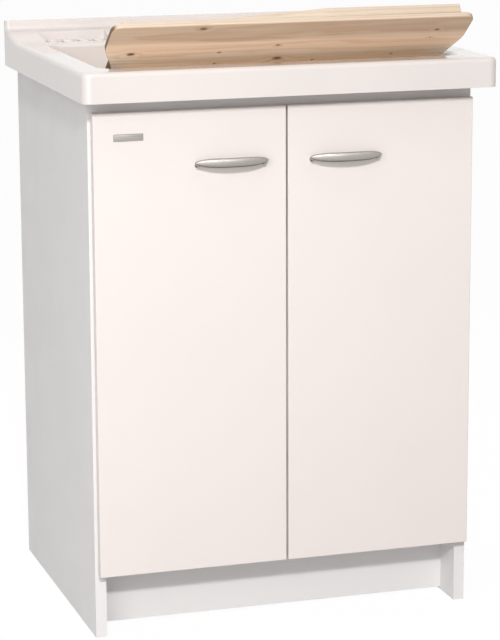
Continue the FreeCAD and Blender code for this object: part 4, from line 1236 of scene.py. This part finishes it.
@dataclass
class Waste:
    """The drain, its stopper and the bottle trap under the bowl."""

    y: float = -12.5 * MM
    floor: float = 562 * MM
    outlet_level: float = 475.7 * MM
    nut_chamfer: float = 1.2 * MM
    flute_depth: float = 1.6 * MM
    inlet_nut_radii: tuple[float, float] = (31 * MM, 22.6 * MM)
    inlet_nut_levels: tuple[float, float] = (506 * MM, 530 * MM)
    ring_radii: tuple[float, float] = (39.1 * MM, 33.1 * MM)
    outlet_nut_radii: tuple[float, float] = (29.3 * MM, 22.4 * MM)
    outlet_nut_length: float = 19 * MM
    outlet_lip_radius: float = 19.3 * MM
    outlet_lip: float = 4 * MM
    nut_grips: int = 18
    ring_grips: int = 22
    plastic_ease: float = 0.5 * MM
    flange_ease: float = 0.4 * MM
    seal_ease: float = 0.6 * MM

    def collar(self, radii: tuple[float, float], low: float, high: float) -> Array:
        """Profile of a ring with chamfered outer edges.

        Args:
            radii: its outer and inner radius.
            low: height of its lower end.
            high: height of its upper end.

        Returns:
            (radius, height) pairs.
        """
        outer, inner = radii
        edge = self.nut_chamfer
        return np.array([
            (inner, low), (outer - edge, low), (outer, low + edge), (outer, (low + high) / 2),
            (outer, high - edge), (outer - edge, high), (inner, high)])

    def fluted(self, node: str, profile: Array, centre: Place, grips: int, axis: Axis = Axis.UP) -> None:
        """A union nut with grip flutes: its outer wall sinks by the depth times a power of the sine.

        Args:
            node: the CAD node that it replaces.
            profile: its profile, (radius, height) pairs.
            centre: a point on its axis at height 0.
            grips: number of flutes.
            axis: its axis.
        """
        wall = profile[:, 0] > profile[:, 0].max() - 1e-6

        def flutes(angle: Array) -> Array:
            """How far the radius sinks at each angle and profile point."""
            return -self.flute_depth * np.abs(np.sin(grips * angle / 2)) ** 6 * wall[None]

        piece = build(f"{node}_fluted", revolve(profile, 12 * grips, centre, axis, flutes), sharp=40.0)
        dress(piece, node, Slot.TRAP)

    def nuts(self) -> None:
        """The three nuts of the trap; the outlet's has a lip that holds the pipe."""
        inlet = (0.0, self.y, 0.0)
        inlet_nut = self.collar(self.inlet_nut_radii, *self.inlet_nut_levels)
        self.fluted("trap_inlet_nut", inlet_nut, inlet, self.nut_grips)
        low, high = (v.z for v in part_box("trap_ring"))
        self.fluted("trap_ring", self.collar(self.ring_radii, low, high), inlet, self.ring_grips)
        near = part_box("trap_outlet_nut")[0].y
        far = near + self.outlet_nut_length
        inside = far - self.outlet_lip
        bore = self.outlet_lip_radius
        lip = [(bore, far), (bore, inside), (self.outlet_nut_radii[1], inside)]
        outlet_nut = np.concatenate([self.collar(self.outlet_nut_radii, near, far)[:-1], lip])
        outlet = (0.0, 0.0, self.outlet_level)
        self.fluted("trap_outlet_nut", outlet_nut, outlet, self.nut_grips, Axis.BACK)

    def stopper(self) -> None:
        """The plug: a turned profile with a soft rim, a dished cap and a mushroom knob."""
        body = [(0.05, -8), (19.0, -8), (19.8, -7), (20.0, 2.5)]
        rim = [(26.2, 2.5), (27.0, 3.3), (26.9, 4.6), (25.6, 5.4)]
        cap = [(16, 5.0), (8, 4.8), (4.2, 5.2)]
        knob = [(3.4, 8.0), (4.4, 10.6), (5.0, 13.2), (3.2, 14.3), (0.05, 14.5)]
        profile = np.array(body + rim + cap + knob) * MM
        piece = build("stopper_plug", revolve(profile, 72, (0, self.y, self.floor)), sharp=50.0)
        dress(piece, "drain_stopper", Slot.RUBBER)

    def dress(self) -> None:
        """Builds the turned nuts and the stopper, and smooth copies of the rest."""
        self.nuts()
        for node in ("trap_body", "trap_cup", "outlet_pipe", "waste_nut"):
            eased_copy(node, f"{node}_moulded", self.plastic_ease, Slot.TRAP)
        eased_copy("drain_flange", "drain_flange_polished", self.flange_ease, Slot.CHROME)
        eased_copy("waste_seal", "waste_seal_ring", self.seal_ease, Slot.RUBBER)
        self.stopper()


@dataclass
class Cabinet:
    """The board carcass, its doors, hinges, bumpers and screws."""

    carcass: tuple[str, ...] = (
        "left_side_panel", "right_side_panel", "bottom_panel", "front_top_rail",
        "rear_top_rail", "rear_bottom_rail", "kickboard",
    )
    board_ease: float = 0.7 * MM
    sheet_ease: float = 0.45 * MM
    pin_ease: float = 0.25 * MM
    hinge_levels: tuple[float, float] = (184 * MM, 518 * MM)
    cup_x: float = 246 * MM
    cup_back: float = -188.3 * MM
    cup_screw_half: float = 22.5 * MM
    cup_screw: float = 13 * MM
    plate_x: float = 260 * MM
    plate_y: float = -148 * MM
    plate_screw_half: float = 16 * MM
    plate_screw: float = 15.8 * MM
    handle_screw: float = 20.3 * MM
    bumper_x: tuple[float, float] = (-25.5 * MM, 25.5 * MM)
    bumper_seat: float = -187 * MM
    bumper_levels: tuple[float, float] = (740 * MM, 104 * MM)

    def boards(self) -> None:
        """The carcass boards with eased edges."""
        for node in self.carcass:
            eased_copy(node, f"{node}_board", self.board_ease, Slot.CARCASS)

    def doors(self) -> None:
        """The door panels, with soft wrapped edges."""
        for side in Side:
            piece = merged_copy(f"{side.word}_door_panel", f"{side.word}_door_leaf")
            even_normals(piece)
            dress(piece, f"{side.word}_door_panel", Slot.DOOR)

    def hinges(self, side: Side) -> None:
        """The concealed hinges of a door, with eased sheet edges.

        Args:
            side: the door's side.
        """
        for position in ("lower", "upper"):
            for part in ("cup", "pin", "arm", "plate"):
                node = f"{side.word}_{position}_hinge_{part}"
                ease = self.pin_ease if part == "pin" else self.sheet_ease
                eased_copy(node, f"{node}_plated", ease, Slot.HINGE)

    def screw_pairs(self, x: float, y: float, half: float) -> list[Place]:
        """Places of two screws at every hinge, each half their distance above or below its middle."""
        return [(x, y, level + end * half) for level in self.hinge_levels for end in (-1, 1)]

    def screws(self, side: Side) -> None:
        """The screws of a door's hinges and handle.

        Args:
            side: the door's side.
        """
        cups = self.screw_pairs(side.value * self.cup_x, self.cup_back, self.cup_screw_half)
        plates = self.screw_pairs(side.value * self.plate_x, self.plate_y, self.plate_screw_half)
        backwards, inwards = (0, 1, 0), (-side.value, 0, 0)
        Screws(f"{side.word}_cup_screws", cups, backwards, self.cup_screw).dress()
        Screws(f"{side.word}_plate_screws", plates, inwards, self.plate_screw).dress()
        handle = Handle(side).screw_places()
        Screws(f"{side.word}_handle_screws", handle, backwards, self.handle_screw).dress()

    def bumpers(self) -> None:
        """Domed pads: a turned profile with a rounded rim, at the four places the doors meet."""
        dome = [(4.0, 0.9), (3.7, 1.6), (3.0, 2.05), (1.6, 2.18), (0.05, 2.2)]
        profile = np.array([(0.05, 0), (4.0, 0)] + dome) * np.array([MM, -MM])
        pads = [
            revolve(profile, 40, (x, self.bumper_seat, z), Axis.BACK)
            for x in self.bumper_x for z in self.bumper_levels
        ]
        dress(build("door_bumper_pads", reduce(Surface.joined, pads)), "door_bumpers", Slot.BUMPER)

    def dress(self) -> None:
        """Builds the cabinet's pieces; the dowels stay as the CAD has them, in beech."""
        self.boards()
        self.doors()
        for side in Side:
            self.hinges(side)
            self.screws(side)
            paint(frame["nodes"][f"{side.word}_dowels"], FINISHES[Slot.BEECH])
        self.bumpers()


@dataclass
class Tub:
    """The moulded washtub and the ribs of its two soap trays."""

    node: str = "washtub"
    tray_floor: float = 809 * MM
    rib_first: float = 166 * MM
    rib_pitch: float = 24 * MM
    rib_count: int = 4
    rib_middle: float = 205 * MM
    rib_reach: float = 22 * MM
    rib_half: float = 7 * MM
    rib_rise: float = 2.6 * MM

    def rib(self, across: float) -> Surface:
        """A low dome: a circle stretched to the rib's width and height, that shrinks at both ends.

        At an angle a from one end to the other the section's size is sin(a)^0.4 of its greatest.

        Args:
            across: where the rib lies along X.

        Returns:
            The surface.
        """
        a = np.linspace(0.01, np.pi - 0.01, 25)[:, None]
        turn = full_turn(24)[None]
        size = np.sin(a) ** 0.4
        return Surface.tube(grid_points(
            across + self.rib_half * size * np.cos(turn), self.rib_middle - self.rib_reach * np.cos(a),
            self.tray_floor + self.rib_rise * size * np.sin(turn)))

    def dress(self) -> None:
        """A smooth copy of the moulding, and the ribs that soap lies on."""
        piece = merged_copy(self.node, "washtub_moulding", sharp=34.0)
        even_normals(piece)
        dress(piece, self.node, Slot.TUB)
        for side in Side:
            places = [side.value * (self.rib_first + n * self.rib_pitch) for n in range(self.rib_count)]
            ribs = reduce(Surface.joined, map(self.rib, places))
            piece = build(f"{side.word}_soap_tray_ribs", ribs, sharp=60.0)
            dress(piece, self.node, Slot.TUB, stands_for=False)


# Studio


@dataclass
class Lamp:
    """A soft rectangular studio lamp."""

    name: str
    place: Place
    aim: Place
    power: float
    width: float
    height: float
    tint: Colour = WHITE
    mirrored: bool = True

    def build(self) -> None:
        """Hangs the lamp, turns it to its aim and keeps it out of reflections where it isn't mirrored."""
        data = bpy.data.lights.new(self.name, "AREA")
        data.shape = "RECTANGLE"
        data.size, data.size_y = self.width, self.height
        data.energy, data.color = self.power, self.tint
        lamp = hang(self.name, data)
        lamp.location = self.place
        lamp.visible_glossy = self.mirrored
        lamp.rotation_euler = (Vector(self.aim) - Vector(self.place)).to_track_quat("-Z", "Y").to_euler()


@dataclass
class Studio:
    """Camera, lamps, pale floor and white surroundings."""

    azimuth: float = -17.32
    elevation: float = 12.23
    roll: float = -0.27
    distance: float = 3.565
    aim: Place = (0.0, -0.187, 0.45)
    shift_right: float = -0.0474
    shift_up: float = -0.0061
    focal_pixels: float = 2513.8
    image_height: int = 640
    sensor: float = 36.0
    farthest: float = 100.0
    sky: Colour = (1.0, 0.985, 0.98)
    ambient: float = 0.36
    floor_half: float = 12.0
    floor_grey: Colour = (0.5, 0.5, 0.5)
    floor_glow: float = 1.06
    floor_glow_share: float = 0.9
    lamps: tuple[Lamp, ...] = (
        Lamp("front_key", (-1.25, -5.2, 3.4), (0, -0.2, 0.45), 169.0, 0.35, 0.35, WARM_WHITE),
        Lamp("side_fill", (-1.3, -1.7, 1.5), (-0.1, -0.2, 0.5), 9.0, 0.9, 0.9, WARM_WHITE),
        Lamp("front_fill", (-1.2, -1.6, 0.75), (-0.1, -0.2, 0.6), 5.3, 0.9, 0.9, WARM_WHITE),
        Lamp("high_front_softbox", (-0.2, -0.9, 2.3), (0.0, -0.1, 0.8), 3.0, 0.9, 0.5),
        Lamp("back_softbox", (0.0, 1.4, 2.0), (0.0, 0.1, 0.8), 16.0, 1.0, 0.8, mirrored=False),
    )

    def camera(self) -> None:
        """A pinhole camera at the photograph's angle; its long side spans the image height."""
        a, e, r = (math.radians(v) for v in (self.azimuth, self.elevation, self.roll))
        back = Vector((math.sin(a) * math.cos(e), -math.cos(a) * math.cos(e), math.sin(e)))
        right = Vector((math.cos(a), math.sin(a), 0.0))
        up = back.cross(right)
        right, up = math.cos(r) * right + math.sin(r) * up, math.cos(r) * up - math.sin(r) * right
        data = bpy.data.cameras.new("camera")
        data.sensor_width = self.sensor
        data.lens = self.focal_pixels * self.sensor / self.image_height
        data.clip_end = self.farthest
        eye = Vector(self.aim) + right * self.shift_right + up * self.shift_up + back * self.distance
        camera = hang("camera", data)
        camera.matrix_world = Matrix.Translation(eye) @ Matrix((right, up, back)).transposed().to_4x4()
        bpy.context.scene.camera = camera

    def surroundings(self) -> None:
        """White to the camera and in reflections, and a plain soft light on the object."""
        world = bpy.data.worlds.new("studio")
        bpy.context.scene.world = world
        world.use_nodes = True
        g = Graph(world.node_tree)
        soft = g.tree.nodes["Background"]
        g.feed(soft.inputs["Color"], self.sky)
        g.feed(soft.inputs["Strength"], self.ambient)
        white = g.node("Background", {"Color": WHITE, "Strength": 1.0})
        both = g.node("MixShader", {0: g.seen(), 1: soft.outputs[0], 2: white.outputs[0]})
        g.feed(g.tree.nodes["World Output"].inputs["Surface"], both.outputs[0])

    def floor(self) -> None:
        """A wide pale floor that keeps a light shadow of the object."""
        half = self.floor_half
        corners = [(-half, -half, 0), (half, -half, 0), (half, half, 0), (-half, half, 0)]
        mesh = bpy.data.meshes.new("floor")
        mesh.from_pydata(corners, [], [[0, 1, 2, 3]])
        s = Shader("pale_floor")
        mesh.materials.append(s.finish(Base_Color=self.floor_grey, Roughness=0.9, Specular_IOR_Level=0.1))
        glow = s.node("Emission", {"Strength": self.floor_glow})
        share = s.times(s.seen(), self.floor_glow_share)
        both = s.node("MixShader", {0: share, 1: s.surface.outputs[0], 2: glow.outputs[0]})
        s.feed(s.tree.nodes["Material Output"].inputs["Surface"], both.outputs[0])
        floor = hang("floor", mesh)

    def build(self) -> None:
        """Sets the whole studio up."""
        bpy.context.scene.view_settings.view_transform = "Standard"
        self.camera()
        self.surroundings()
        self.floor()
        for lamp in self.lamps:
            lamp.build()


def main() -> None:
    """Builds the studio and every sub-assembly."""
    logging.basicConfig(level=logging.INFO, format="%(message)s")
    Studio().build()
    handles = [Handle(side) for side in Side]
    for assembly in (Tub(), Cabinet(), *handles, Nameplate(), Washboard(), Waste()):
        assembly.dress()


if __name__ == "__main__":
    main()
